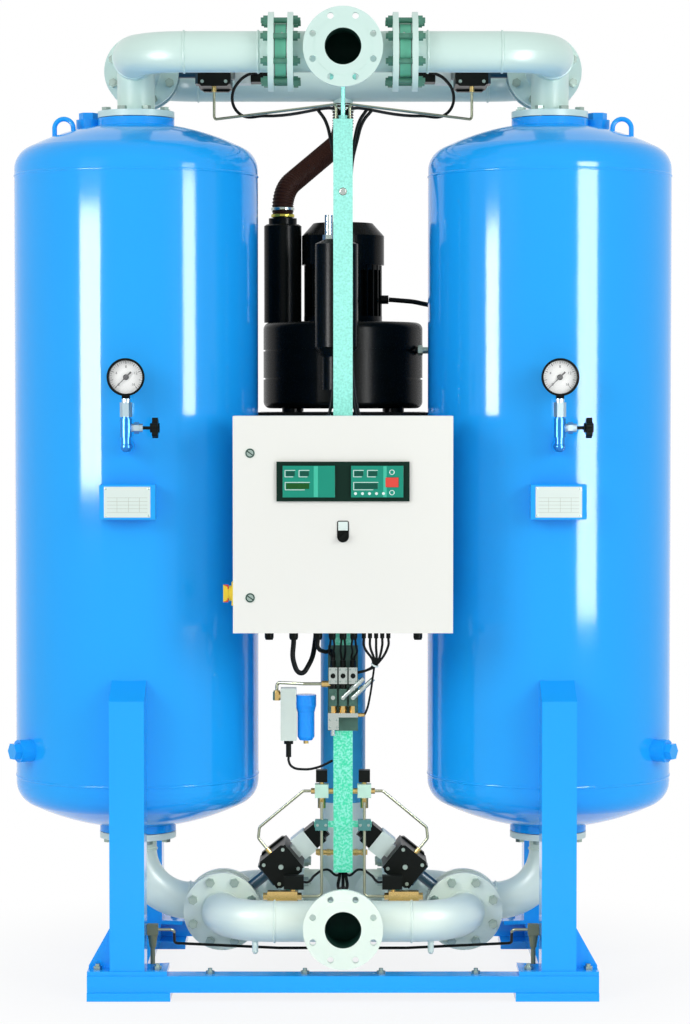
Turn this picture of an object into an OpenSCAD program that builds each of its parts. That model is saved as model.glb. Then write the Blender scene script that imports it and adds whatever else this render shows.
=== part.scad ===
// Twin tower desiccant air dryer with blower regeneration.
// +X is to the right, +Y to the back, +Z up. The origin is on the floor at the centre of the anchor holes.

/* [Vessels] */
// Outside diameter of each pressure vessel
vessel_d = 700; // [660:5:720]
// Wall of the shell and the dished heads
vessel_wall = 8; // [6:0.5:12]
// Distance between the two vessel axes
vessel_pitch = 1190; // [1160:5:1260]
// Height of the lower girth weld above the floor
lower_seam_z = 573; // [565:1:600]
// Straight shell between the two girth welds
shell_h = 1722; // [1650:2:1800]
// Crown radius of the dished heads
head_crown_r = 700; // [680:5:720]
// Knuckle radius of the dished heads
head_knuckle_r = 70; // [62:1:80]
// Straight skirt of each head
head_skirt = 18; // [12:1:26]
// Height of the nozzle pads over the crown of the head
pad_rise = 12; // [10:1:16]
// Diameter of the girth weld bead
bead_d = 10; // [6:1:12]
// Distance of the lifting eye from the vessel axis
eye_out = 208; // [195:1:225]
// Distance of the filling socket from the vessel axis
fill_out = 142; // [138:1:155]
// Diameter of the filling socket
fill_d = 72; // [60:1:76]
// Height of the emptying socket
empty_z = 661; // [640:1:720]
// Direction of the emptying socket, degrees outward from the front
empty_turn = 56; // [45:1:70]

/* [Base] */
// Length of the base beams
base_l = 1410; // [1400:5:1480]
// Distance from the front face to the rear face of the base
base_w = 940; // [930:5:980]
// Height of the base beams
beam_h = 46; // [40:1:56]
// Depth of the base beams
beam_w = 70; // [60:1:80]
// Thickness of the foot pads
foot_t = 23; // [15:1:30]
// Length of each foot pad
foot_l = 230; // [200:2:260]
// Depth of each foot pad
foot_w = 160; // [150:2:180]
// Diameter of the floor anchor holes
anchor_d = 18; // [14:1:22]
// Width of the square legs
leg_w = 96; // [80:1:110]
// Height of the leg top at its outer face
leg_top_z = 826; // [780:2:860]
// Slope of the leg caps
leg_slope = 23; // [10:1:30]
// Length of the leg base plates
leg_plate_l = 220; // [200:2:230]
// Thickness of the leg base plates
leg_plate_t = 12; // [8:1:16]

/* [Pipes] */
// Outside diameter of the main pipes
pipe_d = 114.3; // [112:0.1:116]
// Wall of the pipes
pipe_wall = 3.6; // [3:0.2:4.4]
// Outside diameter of the nozzle pipes at the vessels
nozzle_d = 108; // [104:0.5:110]
// Centreline radius of the pipe elbows
elbow_r = 152; // [140:1:156]
// Diameter of the flanges
flange_d = 220; // [212:1:224]
// Thickness of the flanges
flange_t = 18; // [16:0.5:20]
// Bolt circle of the flanges
flange_pcd = 180; // [176:1:182]
// Number of flange bolts
flange_holes = 8;
// Diameter of the flange bolt holes
flange_hole_d = 18; // [17:0.5:19]
// Diameter of the raised face
flange_face_d = 158; // [150:1:158]
// Diameter of the flange bolts
bolt_d = 16; // [14:1:16]
// Thickness of the gaskets
gasket_t = 2; // [1:0.5:3]
// Height of the outlet pipe over the crown of the heads
top_pipe_rise = 174; // [165:1:185]
// Distance of the outlet pipe in front of the vessel axes
top_front = 270; // [262:1:290]
// Half the face to face length of the outlet tee
tee_half = 156; // [150:1:170]
// Reach of the outlet and inlet flanges in front of their pipes
branch_reach = 140; // [132:1:160]
// Distance of the upper rear flange face behind the vessel axes
top_rear_face = 248; // [235:1:270]
// Straight neck behind the upper valves
rear_neck = 84; // [60:1:100]
// Distance of the lower valves from the centre
valve_x = 343; // [338:1:350]
// Distance of the lower spool flange faces from the vessel axes
bottom_face = 120; // [112:1:130]
// Straight neck under the bottom nozzle flange
bottom_neck = 35; // [28:1:42]
// Straight neck between the lower manifold elbows and their flanges
low_neck = 6; // [4:1:12]
// Straight pipe behind the lower tees
rear_leg = 60; // [58:1:70]

/* [Valves] */
// Thickness of the butterfly valves
valve_t = 52; // [46:1:56]
// Thickness of the check valves
check_t = 30; // [28:1:34]
// Outside diameter of the valve bodies
wafer_d = 160; // [150:1:162]
// Bore of the butterfly valves
seat_d = 100; // [96:1:102]
// Diameter of the valve stems
stem_d = 16; // [12:1:18]
// Distance from the pipe axis to the valve head plate
stem_reach = 168; // [160:1:175]
// Tilt of the lower valve stems from upright
low_tilt = 51; // [46:1:52]
// Side of the square actuator heads
actuator_s = 96; // [90:1:104]
// Length of the actuators
actuator_l = 190; // [150:2:220]
// Diameter of the check flaps
flap_d = 84; // [78:1:88]

/* [Cabinet] */
// Width of the control cabinet
cab_w = 600; // [560:5:640]
// Height of the control cabinet
cab_h = 592; // [560:2:620]
// Depth of the control cabinet with its door
cab_d = 210; // [190:2:230]
// Height of the cabinet bottom
cab_z = 1018; // [1000:2:1060]
// Depth of the door tray
door_t = 22; // [20:1:26]
// Gap between the door and the cabinet
door_gap = 5; // [4.6:0.1:7]
// Sheet thickness of the cabinet
sheet = 1.5; // [1.2:0.1:2]
// Width of the display bezel
bezel_w = 362; // [350:1:376]
// Height of the display bezel
bezel_h = 108; // [104:1:120]
// Width of each display module
module_w = 143; // [136:1:150]
// Height of each display module
module_h = 87; // [82:1:92]

/* [Post] */
// Side of the square centre post
post_s = 54; // [50:1:60]
// Height of the lower end of the post
post_z = 327; // [320:1:345]
// Distance of the post axis in front of the vessel axes
post_front = 260; // [255:1:265]

/* [Blower] */
// Diameter of the motor over its fins
motor_d = 240; // [220:2:250]
// Height of the stand that carries the blower
stand_z = 1617; // [1612:1:1640]
// Distance of the blower axis behind the vessel axes
blower_y = 330; // [322:1:340]
// Height of the motor with its cowl
motor_h = 296; // [290:1:310]
// Diameter of the blower drum
drum_d = 476; // [460:2:486]
// Height of the blower drum
drum_h = 256; // [240:1:262]
// Diameter of the heater tube
heater_d = 133; // [127:0.5:136]
// Diameter of the hot air hose
hose_d = 64; // [56:1:68]

/* [Instruments] */
// Diameter of the gauges
gauge_d = 100; // [90:1:110]
// Height of the gauge centres
gauge_z = 1716; // [1690:1:1740]
// Distance of the gauge stem in front of the vessel
gauge_out = 88; // [80:1:100]
// Diameter of the gauge valve handwheels
wheel_d = 58; // [50:1:64]

/* [Hidden] */
$fn = 64;
cable_d = 9;
run_gap = 0.08;
weld_gap = 0.2;
free_gap = 0.5;
vessel_x = vessel_pitch / 2;
vessel_r = vessel_d / 2;
head_h = head_crown_r - sqrt(pow(head_crown_r - head_knuckle_r, 2) - pow(vessel_r - head_knuckle_r, 2));
upper_seam_z = lower_seam_z + shell_h;
upper_tangent_z = upper_seam_z + head_skirt;
lower_tangent_z = lower_seam_z - head_skirt;
vessel_top_z = upper_tangent_z + head_h;
vessel_bottom_z = lower_tangent_z - head_h;
top_pad_z = vessel_top_z + pad_rise;
bottom_pad_z = vessel_bottom_z - pad_rise;
top_pipe_z = vessel_top_z + top_pipe_rise;
bottom_pipe_z = bottom_pad_z - gasket_t - flange_t - bottom_neck - elbow_r;
bore_d = pipe_d - 2 * pipe_wall;
nozzle_bore = nozzle_d - 2 * pipe_wall;
spool_face_x = tee_half + check_t + 2 * gasket_t;
top_valve_y = top_rear_face + gasket_t + valve_t / 2;
top_rear_y = top_rear_face + valve_t + 2 * gasket_t + flange_t + rear_neck + elbow_r;
low_valve_y = bottom_face + gasket_t + valve_t / 2;
inlet_y = bottom_face + valve_t + 2 * gasket_t + flange_t + low_neck + elbow_r;
regen_y = rear_leg + elbow_r;
regen_face_x = valve_x - elbow_r - low_neck - flange_t;
riser_face_x = regen_face_x - 2 * gasket_t - check_t;
beam_top_z = foot_t + beam_h;
plate_top_z = beam_top_z + leg_plate_t;
anchor_x = base_l / 2 - foot_l / 2;
anchor_y = base_w / 2 - beam_w - (foot_w - beam_w) / 2;
leg_y = base_w / 2 - 10;
leg_x = (base_l - leg_plate_l) / 2;
cab_front_y = -(post_front + post_s / 2 + 12 + cab_d);
cab_body_y = cab_front_y + door_t + door_gap;
cab_back_y = cab_front_y + cab_d;
hinge_x = cab_w / 2 - 4.2;
hinge_y = cab_front_y + door_t - 5;
lock_x = -(cab_w / 2 - 47);
low_lock_z = cab_z + 97;
high_lock_z = cab_z + cab_h - 101;
bezel_z = cab_z + cab_h - 178;
module_x = 61;
selector_z = cab_z + 264;
key_x = 78;
key_z = bezel_z - 2;
key_w = 35;
key_h = 26;
key_travel = 2;
post_top_z = top_pipe_z - 187;
gauge_y = -(vessel_r + gauge_out);
tap_z = gauge_z - 191;
gauge_valve_z = gauge_z - 139;
deck_t = 8;
blower_z = stand_z + 11;
motor_z = blower_z + drum_h;
heater_z = 463;
heater_top = stand_z - 180;
silencer_d = 112;
silencer_x = motor_d / 2 + 3 + silencer_d / 2 + 1;

azure = [0.10, 0.50, 0.78];
pipe_grey = [0.82, 0.85, 0.84];
dark = [0.08, 0.08, 0.09];
steel = [0.70, 0.71, 0.72];
zinc = [0.62, 0.64, 0.66];
brass = [0.75, 0.60, 0.30];
cream = [0.90, 0.89, 0.85];

// Directions, pairs and swept runs

module along_x() { rotate([0, 90, 0]) children(); }

module along_y() { rotate([-90, 0, 0]) children(); }

module both_sides() {
  children();
  mirror([1, 0, 0]) children();
}

module all_corners() {
  both_sides() {
    children();
    mirror([0, 1, 0]) children();
  }
}

module block(x, y, z) { translate([x[0], y[0], z[0]]) cube([x[1] - x[0], y[1] - y[0], z[1] - z[0]]); }

function unit(v) = v / norm(v);
function square_to(v, t) = unit(v - t * (v * t));

// Points of a path whose corners are rounded with radius r
function rounded(p, r, steps) = [for (i = [0:len(p) - 1]) each
  (i == 0 || i == len(p) - 1) ? [p[i]] : corner(p[i - 1], p[i], p[i + 1], r, steps)];

function corner(a, b, c, r, steps) =
  let (u = unit(b - a), v = unit(c - b), turn = acos(u * v), cut = r * tan(turn / 2),
    side = square_to(v, u), hub = b - u * cut + side * r)
  [for (k = [0:steps]) hub + r * (sin(turn * k / steps) * u - cos(turn * k / steps) * side)];

function tangent(q, i) = unit(q[min(i + 1, len(q) - 1)] - q[max(i - 1, 0)]);

module swept(path, d, r, sides = 10, steps = 5) {
  q = rounded(path, r, steps);
  n = len(q);
  t = [for (i = [0:n - 1]) tangent(q, i)];
  start = abs(t[0][2]) > 0.9 ? [1, 0, 0] : [0, 0, 1];
  across = [for (i = 0, v = square_to(start, t[0]); i < n; v = square_to(v, t[min(i + 1, n - 1)]), i = i + 1) v];
  points = [for (i = [0:n - 1]) for (k = [0:sides - 1])
    q[i] + d / 2 * (cos(360 * k / sides) * across[i] + sin(360 * k / sides) * cross(t[i], across[i]))];
  walls = [for (i = [0:n - 2]) for (k = [0:sides - 1])
    [i * sides + k, (i + 1) * sides + k, (i + 1) * sides + (k + 1) % sides, i * sides + (k + 1) % sides]];
  first = [for (k = [0:sides - 1]) k];
  last = [for (k = [0:sides - 1]) (n - 1) * sides + sides - 1 - k];
  polyhedron(points, concat([first, last], walls), convexity = 4);
}

// Flange with its mating face at z = 0 and its body below

module flange_disc(face = true) {
  translate([0, 0, -flange_t]) cylinder(d = flange_d, h = face ? flange_t - gasket_t : flange_t);
  if (face) translate([0, 0, -gasket_t]) cylinder(d = flange_face_d, h = gasket_t);
}

module hole_ring(d, depth) {
  for (i = [0:flange_holes - 1])
    rotate([0, 0, (i + 0.5) * 360 / flange_holes])
      translate([flange_pcd / 2, 0, -depth])
        cylinder(d = d, h = depth + 1);
}

module elbow(d) { rotate_extrude(angle = 90) translate([elbow_r, 0]) circle(d = d); }

// Base: beams on foot pads, cross members and the four legs

module beam_side() {
  difference() {
    union() {
      block([-base_l / 2, base_l / 2], [-base_w / 2, -base_w / 2 + beam_w], [foot_t, beam_top_z]);
      both_sides()
        block([-base_l / 2, -base_l / 2 + foot_l], [-base_w / 2 - 8, -base_w / 2 + foot_w], [0, foot_t]);
    }
    block([-base_l, base_l], [-base_w / 2 + 5, -base_w / 2 + beam_w - 5], [foot_t - 1, beam_top_z - 6]);
    both_sides() translate([-anchor_x, -anchor_y, -1]) cylinder(d = anchor_d, h = foot_t + 2);
  }
}

module beam_end_plate() {
  block([-base_l / 2, -base_l / 2 + 5], [-base_w / 2 + 5 + weld_gap, -base_w / 2 + beam_w - 5 - weld_gap],
    [foot_t + weld_gap, beam_top_z - 6 - weld_gap]);
}

module cross_member() {
  inner = base_w / 2 - beam_w - weld_gap;
  difference() {
    block([-leg_x - 45, -leg_x + 45], [-inner, inner], [foot_t + 0.5, beam_top_z]);
    block([-leg_x - 40, -leg_x + 40], [-inner - 1, inner + 1], [foot_t, beam_top_z - 6]);
  }
}

module base_frame() {
  color(azure) {
    beam_side();
    mirror([0, 1, 0]) beam_side();
    both_sides() cross_member();
    all_corners() beam_end_plate();
  }
}

module leg() {
  depth = leg_y - vessel_r + 8;
  plate_y = [-base_w / 2 + 4, -vessel_r + 30];
  translate([-leg_x, 0, 0]) difference() {
    union() {
      block([-leg_w / 2, leg_w / 2], [-leg_y, -leg_y + depth], [beam_top_z + weld_gap, leg_top_z + 60]);
      block([-leg_plate_l / 2, leg_plate_l / 2], plate_y, [beam_top_z + weld_gap, plate_top_z]);
      translate([0, -leg_y + depth / 2 + 5, plate_top_z])
        leg_gusset();
    }
    translate([0, -leg_y, leg_top_z])
      rotate([leg_slope, 0, 0])
        translate([-leg_w, -100, 0])
          cube([2 * leg_w, 400, 200]);
    block([-leg_w / 2 + 6, leg_w / 2 - 6], [-leg_y + 6, -leg_y + depth - 14], [0, leg_top_z - 14]);
    translate([leg_x - vessel_x, 0, 0]) {
      translate([0, 0, beam_top_z - 1]) cylinder(r = vessel_r + weld_gap, h = shell_h);
      translate([0, 0, lower_seam_z - bead_d]) cylinder(r = vessel_r + bead_d * 0.2 + free_gap, h = 2 * bead_d);
    }
    for (x = [-1, 1])
      translate([x * (leg_plate_l / 2 - 28), -base_w / 2 + beam_w / 2, 0])
        cylinder(d = 15, h = plate_top_z + 1);
  }
}

module leg_gusset() {
  rotate([90, 0, 0])
    linear_extrude(10)
      polygon([[1 - leg_w / 2, -1], [-leg_plate_l / 2, -1], [-leg_plate_l / 2, 6], [-leg_w / 2 - 4, 110],
        [1 - leg_w / 2, 110]]);
}

module support_legs() { color(azure) all_corners() leg(); }

// Vessels: shell with dished heads, pads, sockets, lifting eye and plate bracket

function head_top(r) = vessel_top_z - head_crown_r + sqrt(pow(head_crown_r, 2) - r * r);

// Outline of the vessel, shrunk by the wall for the inside
module vessel_outline(wall) {
  r = vessel_r - wall;
  crown = head_crown_r - wall;
  knuckle = head_knuckle_r - wall;
  translate([0, lower_tangent_z]) square([r, upper_tangent_z - lower_tangent_z]);
  for (end = [[1, upper_tangent_z], [-1, lower_tangent_z]])
    translate([0, end[1]]) scale([1, end[0]]) {
      rise = head_crown_r - head_h;
      intersection() {
        translate([0, -rise]) circle(r = crown);
        polygon([[0, -rise], [2 * (vessel_r - head_knuckle_r), rise], [0, 3 * rise]]);
      }
      translate([vessel_r - head_knuckle_r, 0]) circle(r = knuckle);
    }
}

module vessel_shell() {
  rotate_extrude() {
    difference() {
      vessel_outline(0);
      vessel_outline(vessel_wall);
    }
    for (z = [lower_seam_z, upper_seam_z])
      translate([vessel_r - bead_d * 0.3, z]) circle(d = bead_d);
  }
}

module lifting_eye() {
  rod = 14;
  loop = 27;
  difference() {
    translate([-eye_out, 0, head_top(eye_out) + 17]) {
      rotate([90, 0, 0]) rotate_extrude(angle = 180) translate([loop, 0]) circle(d = rod);
      for (x = [-loop, loop])
        translate([x, 0, -42]) cylinder(d = rod, h = 42);
    }
    translate([0, 0, vessel_top_z - head_crown_r]) sphere(r = head_crown_r + weld_gap, $fn = 180);
  }
}

module lifting_eyes() { color(azure) both_sides() translate([-vessel_x, 0, 0]) lifting_eye(); }

module plate_bracket() {
  plate_z = gauge_z - 344;
  for (x = [-77, 74])
    block([x, x + 3], [-vessel_r - 55, -vessel_r + 14], [plate_z - 48, plate_z + 48]);
  block([-77, 77], [-vessel_r - 55, -vessel_r - 52], [plate_z - 48, plate_z + 48]);
}

module vessel() {
  difference() {
    union() {
      vessel_shell();
      translate([0, 0, head_top(flange_d / 2) - 3])
        cylinder(d = flange_d, h = top_pad_z - head_top(flange_d / 2) + 3);
      translate([0, 0, bottom_pad_z])
        cylinder(d = flange_d, h = top_pad_z - head_top(flange_d / 2) + 3);
      translate([-fill_out, 60, head_top(fill_out + 60) - 2]) cylinder(d = fill_d, h = 46);
      rotate([0, 0, -empty_turn]) translate([0, -vessel_r - 40, empty_z]) along_y() cylinder(d = 64, h = 45);
      translate([0, -vessel_r - 22, tap_z]) along_y() cylinder(d = 36, h = 26);
    }
    translate([0, 0, vessel_bottom_z - 50]) cylinder(d = nozzle_bore, h = 120);
    translate([0, 0, vessel_top_z - 50]) cylinder(d = nozzle_bore, h = 120);
    translate([0, 0, top_pad_z]) hole_ring(flange_hole_d, 14);
    translate([0, 0, bottom_pad_z]) mirror([0, 0, 1]) hole_ring(flange_hole_d, 14);
    translate([-fill_out, 60, vessel_top_z - 80]) cylinder(d = fill_d - 20, h = 140);
    rotate([0, 0, -empty_turn]) translate([0, -vessel_r - 50, empty_z]) along_y() cylinder(d = 46, h = 90);
    translate([0, -vessel_r - 30, tap_z]) along_y() cylinder(d = 14, h = 60);
  }
  difference() {
    plate_bracket();
    cylinder(r = vessel_r - 1, h = upper_seam_z);
  }
}

module left_vessel() { color(azure) translate([-vessel_x, 0, 0]) vessel(); }

module right_vessel() {
  color(azure) translate([vessel_x, 0, 0]) mirror([1, 0, 0]) vessel();
}

module bed_screen() {
  difference() {
    cylinder(r = vessel_r - vessel_wall - 0.3, h = 6);
    for (ring = [1:4])
      for (i = [0:6 * ring - 1])
        rotate([0, 0, i * 60 / ring])
          translate([ring * (vessel_r - 40) / 4.6, 0, -1])
            cylinder(d = 34, h = 8);
  }
}

module desiccant_beds() {
  color([0.85, 0.82, 0.75])
    both_sides()
      translate([-vessel_x, 0, 0]) {
        translate([0, 0, lower_tangent_z + 40]) bed_screen();
        translate([0, 0, lower_tangent_z + 46.2])
          cylinder(r = vessel_r - vessel_wall - free_gap, h = upper_tangent_z - lower_tangent_z - 102.4);
        translate([0, 0, upper_tangent_z - 56]) bed_screen();
      }
}

module port_plugs() {
  color(azure)
    both_sides()
      translate([-vessel_x, 0, 0]) {
        translate([-fill_out, 60, head_top(fill_out + 60) + 20]) cylinder(d = fill_d - 21, h = 26);
        translate([-fill_out, 60, head_top(fill_out + 60) + 44.1]) cylinder(d = fill_d - 16, h = 20, $fn = 6);
        rotate([0, 0, -empty_turn])
          translate([0, -vessel_r, empty_z]) {
            translate([0, -41, 0]) along_y() cylinder(d = 45, h = 24);
            translate([0, -60, 0]) along_y() cylinder(d = 50, h = 19.9, $fn = 6);
          }
      }
}

// Flange joints, each with its gaskets and its ring of bolts

module gasket() {
  seat = 0.02;
  difference() {
    translate([0, 0, seat]) cylinder(d = flange_face_d, h = gasket_t - 2 * seat);
    translate([0, 0, -1]) cylinder(d = bore_d, h = gasket_t + 2);
  }
}

module stud_ring(grip) {
  nut_h = 13;
  for (i = [0:flange_holes - 1])
    rotate([0, 0, (i + 0.5) * 360 / flange_holes])
      translate([flange_pcd / 2, 0, 0]) {
        translate([0, 0, -nut_h - 7]) cylinder(d = bolt_d, h = grip + 2 * (nut_h + 7));
        translate([0, 0, -nut_h]) cylinder(d = bolt_d * 1.7, h = nut_h, $fn = 6);
        translate([0, 0, grip]) cylinder(d = bolt_d * 1.7, h = nut_h, $fn = 6);
      }
}

module screw_ring() {
  for (i = [0:flange_holes - 1])
    rotate([0, 0, (i + 0.5) * 360 / flange_holes])
      translate([flange_pcd / 2, 0, 0]) {
        translate([0, 0, -13]) cylinder(d = bolt_d, h = flange_t + gasket_t + 15);
        translate([0, 0, flange_t + gasket_t]) cylinder(d = bolt_d * 1.7, h = 11, $fn = 6);
      }
}

module flange_gaskets() {
  color(dark)
    both_sides() {
      translate([-vessel_x, 0, top_pad_z]) gasket();
      translate([-vessel_x, 0, bottom_pad_z - gasket_t]) gasket();
      for (x = [tee_half, tee_half + gasket_t + check_t])
        translate([x, -top_front, top_pipe_z]) along_x() gasket();
      for (y = [top_rear_face, top_rear_face + gasket_t + valve_t])
        translate([-vessel_x, y, top_pipe_z]) along_y() gasket();
      for (y = [-bottom_face - gasket_t, -bottom_face - 2 * gasket_t - valve_t])
        translate([-valve_x, y, bottom_pipe_z]) along_y() gasket();
      for (x = [riser_face_x, regen_face_x - gasket_t])
        translate([x, regen_y, bottom_pipe_z]) along_x() gasket();
    }
}

module floor_bolt() {
  cylinder(d = 14, h = 30 + leg_plate_t);
  translate([0, 0, 30 + leg_plate_t - 18]) cylinder(d = 22, h = 10, $fn = 6);
}

module flange_bolts() {
  wide_grip = 2 * flange_t + valve_t + 2 * gasket_t;
  narrow_grip = 2 * flange_t + check_t + 2 * gasket_t;
  color(zinc)
    both_sides() {
      translate([-vessel_x, 0, top_pad_z]) screw_ring();
      translate([-vessel_x, 0, bottom_pad_z]) mirror([0, 0, 1]) screw_ring();
      translate([tee_half - flange_t, -top_front, top_pipe_z]) along_x() stud_ring(narrow_grip);
      translate([-vessel_x, top_rear_face - flange_t, top_pipe_z]) along_y() stud_ring(wide_grip);
      translate([riser_face_x - flange_t, regen_y, bottom_pipe_z]) along_x() stud_ring(narrow_grip);
      translate([-valve_x, -bottom_face + flange_t - wide_grip, bottom_pipe_z]) along_y() stud_ring(wide_grip);
      for (y = [-1, 1])
        for (x = [-1, 1])
          translate([-leg_x + x * (leg_plate_l / 2 - 28), y * (base_w / 2 - beam_w / 2), beam_top_z + 0.5]) {
            cylinder(d = 14, h = leg_plate_t + 16);
            translate([0, 0, leg_plate_t - 0.5]) cylinder(d = 24, h = 10, $fn = 6);
          }
      for (x = [105, 367])
        translate([-x, -base_w / 2 + beam_w / 2, beam_top_z]) {
          cylinder(d = 24, h = 9, $fn = 6);
          cylinder(d = 12, h = 16);
        }
    }
}

// Upper piping

module outlet_run(d, branch, over) {
  translate([-tee_half - over, 0, 0]) along_x() cylinder(d = d, h = 2 * tee_half + 2 * over);
  translate([0, -branch_reach - over, 0]) along_y() cylinder(d = branch, h = branch_reach + over);
}

module outlet_manifold() {
  color(pipe_grey)
    translate([0, -top_front, top_pipe_z])
      difference() {
        union() {
          outlet_run(pipe_d, nozzle_d, 0);
          both_sides() translate([tee_half, 0, 0]) along_x() flange_disc();
          translate([0, -branch_reach, 0]) rotate([90, 0, 0]) flange_disc();
        }
        outlet_run(bore_d, nozzle_bore, 2);
        both_sides() translate([tee_half, 0, 0]) along_x() hole_ring(flange_hole_d, flange_t + 1);
        translate([0, -branch_reach, 0]) rotate([90, 0, 0]) hole_ring(flange_hole_d, flange_t + 1);
      }
}

// Wafer check valve with its seat at z = 0; the flap opens toward +z and its pin lies along Y at +X
pin_out = 44;
pin_up = 9;

module check_body() {
  seat = check_t - 20;
  difference() {
    cylinder(d = wafer_d, h = check_t);
    translate([0, 0, -1]) cylinder(d = flap_d - 14, h = check_t);
    translate([0, 0, seat]) cylinder(d = bore_d - 2, h = check_t);
    translate([pin_out, -wafer_d / 2 - 1, seat + pin_up]) along_y() cylinder(d = 6 + 2 * run_gap, h = wafer_d + 2);
  }
}

module check_flap() {
  seat = check_t - 20;
  pin_l = 2 * sqrt(pow(wafer_d / 2, 2) - pow(pin_out + 3, 2)) - 1;
  translate([0, 0, seat + 0.4]) cylinder(d = flap_d, h = 8);
  block([pin_out - 12, pin_out], [-9, 9], [seat + 4, seat + 14]);
  translate([pin_out, -9, seat + pin_up]) along_y() cylinder(d = 11, h = 18);
  translate([pin_out, -pin_l / 2, seat + pin_up]) along_y() cylinder(d = 6, h = pin_l);
}

module outlet_check() {
  translate([-tee_half - gasket_t - check_t, -top_front, top_pipe_z]) rotate([0, 90, 0]) rotate([0, 0, 180]) children();
}

module regen_check() {
  translate([-riser_face_x - gasket_t, regen_y, bottom_pipe_z]) rotate([0, -90, 0]) children();
}

module check_valves() {
  color([0.42, 0.55, 0.52])
    both_sides() {
      outlet_check() check_body();
      regen_check() check_body();
    }
}

module left_outlet_flap() { color(steel) outlet_check() check_flap(); }

module right_outlet_flap() { color(steel) mirror([1, 0, 0]) outlet_check() check_flap(); }

module left_regen_flap() { color(steel) regen_check() check_flap(); }

module right_regen_flap() { color(steel) mirror([1, 0, 0]) regen_check() check_flap(); }

module top_run(d, stub, over) {
  run_x = vessel_x - spool_face_x;
  translate([elbow_r, -top_front, 0]) along_x() cylinder(d = d, h = run_x - elbow_r + over);
  translate([elbow_r, elbow_r - top_front, 0]) rotate([0, 0, 180]) elbow(d);
  translate([0, elbow_r - top_front, 0]) along_y() cylinder(d = d, h = top_rear_face + top_front - elbow_r + over);
  translate([0, 0, top_pad_z + gasket_t - top_pipe_z - over])
    cylinder(d = stub, h = top_pipe_z - top_pad_z - gasket_t + over);
}

module top_spool() {
  run_x = vessel_x - spool_face_x;
  translate([-vessel_x, 0, top_pipe_z])
    difference() {
      union() {
        top_run(pipe_d, nozzle_d, 0);
        translate([run_x, -top_front, 0]) along_x() flange_disc();
        translate([0, top_rear_face, 0]) along_y() flange_disc();
        translate([0, 0, top_pad_z + gasket_t - top_pipe_z]) mirror([0, 0, 1]) flange_disc(false);
      }
      top_run(bore_d, nozzle_bore, 2);
      translate([run_x, -top_front, 0]) along_x() hole_ring(flange_hole_d, flange_t + 1);
      translate([0, top_rear_face, 0]) along_y() hole_ring(flange_hole_d, flange_t + 1);
      translate([0, 0, top_pad_z + gasket_t - top_pipe_z]) mirror([0, 0, 1]) hole_ring(flange_hole_d, flange_t + 1);
    }
}

module left_top_spool() { color(pipe_grey) top_spool(); }

module right_top_spool() { color(pipe_grey) mirror([1, 0, 0]) top_spool(); }

// Manifold along X with an elbow at each end that turns to flanges facing -Y
module end_elbows(d, half, neck, over) {
  translate([-half + elbow_r, 0, 0]) along_x() cylinder(d = d, h = 2 * (half - elbow_r));
  both_sides() {
    translate([-half + elbow_r, -elbow_r, 0]) rotate([0, 0, 90]) elbow(d);
    translate([-half, -elbow_r - neck - over, 0]) along_y() cylinder(d = d, h = neck + over);
  }
}

module elbow_manifold(half, neck) {
  face = -elbow_r - neck - flange_t;
  difference() {
    union() {
      end_elbows(pipe_d, half, neck + flange_t, 0);
      both_sides() translate([-half, face, 0]) rotate([90, 0, 0]) flange_disc();
      children(0);
    }
    end_elbows(bore_d, half, neck + flange_t, 2);
    both_sides() translate([-half, face, 0]) rotate([90, 0, 0]) hole_ring(flange_hole_d, flange_t + 1);
    children(1);
  }
}

module upper_regen_manifold() {
  color(pipe_grey)
    translate([0, top_rear_y, top_pipe_z])
      elbow_manifold(vessel_x, rear_neck) {
        translate([0, 0, -110]) cylinder(d = 60, h = 110);
        translate([0, 0, -112]) cylinder(d = 52, h = 112);
      }
}

// Lower piping

module inlet_manifold() {
  color(pipe_grey)
    translate([0, -inlet_y, bottom_pipe_z])
      rotate([0, 0, 180])
        elbow_manifold(valve_x, low_neck) {
          union() {
            along_y() cylinder(d = nozzle_d, h = branch_reach);
            translate([0, branch_reach, 0]) along_y() flange_disc();
            both_sides() translate([245, -5, -92]) {
              cylinder(d1 = 9, d2 = 17, h = 6);
              translate([0, 0, 6]) cylinder(d = 17, h = 56);
            }
          }
          union() {
            along_y() cylinder(d = nozzle_bore, h = branch_reach + 2);
            translate([0, branch_reach, 0]) along_y() hole_ring(flange_hole_d, flange_t + 1);
          }
        }
}

module bottom_run(d, nozzle, over) {
  lift = bottom_pad_z - gasket_t - bottom_pipe_z;
  translate([-valve_x, -bottom_face - over, 0]) along_y() cylinder(d = d, h = bottom_face + over + rear_leg);
  translate([-valve_x + elbow_r, rear_leg, 0]) rotate([0, 0, 90]) elbow(d);
  translate([-valve_x + elbow_r, regen_y, 0]) along_x() cylinder(d = d, h = low_neck + flange_t + over);
  translate([-vessel_x + elbow_r, 0, 0]) along_x() cylinder(d = nozzle, h = vessel_x - elbow_r - valve_x);
  translate([-vessel_x + elbow_r, 0, elbow_r]) rotate([90, 0, 0]) rotate([0, 0, 180]) elbow(nozzle);
  translate([-vessel_x, 0, elbow_r]) cylinder(d = nozzle, h = lift - elbow_r + over);
}

module bottom_faces() {
  translate([-regen_face_x, regen_y, 0]) along_x() children();
  translate([-valve_x, -bottom_face, 0]) rotate([90, 0, 0]) children();
}

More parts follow.
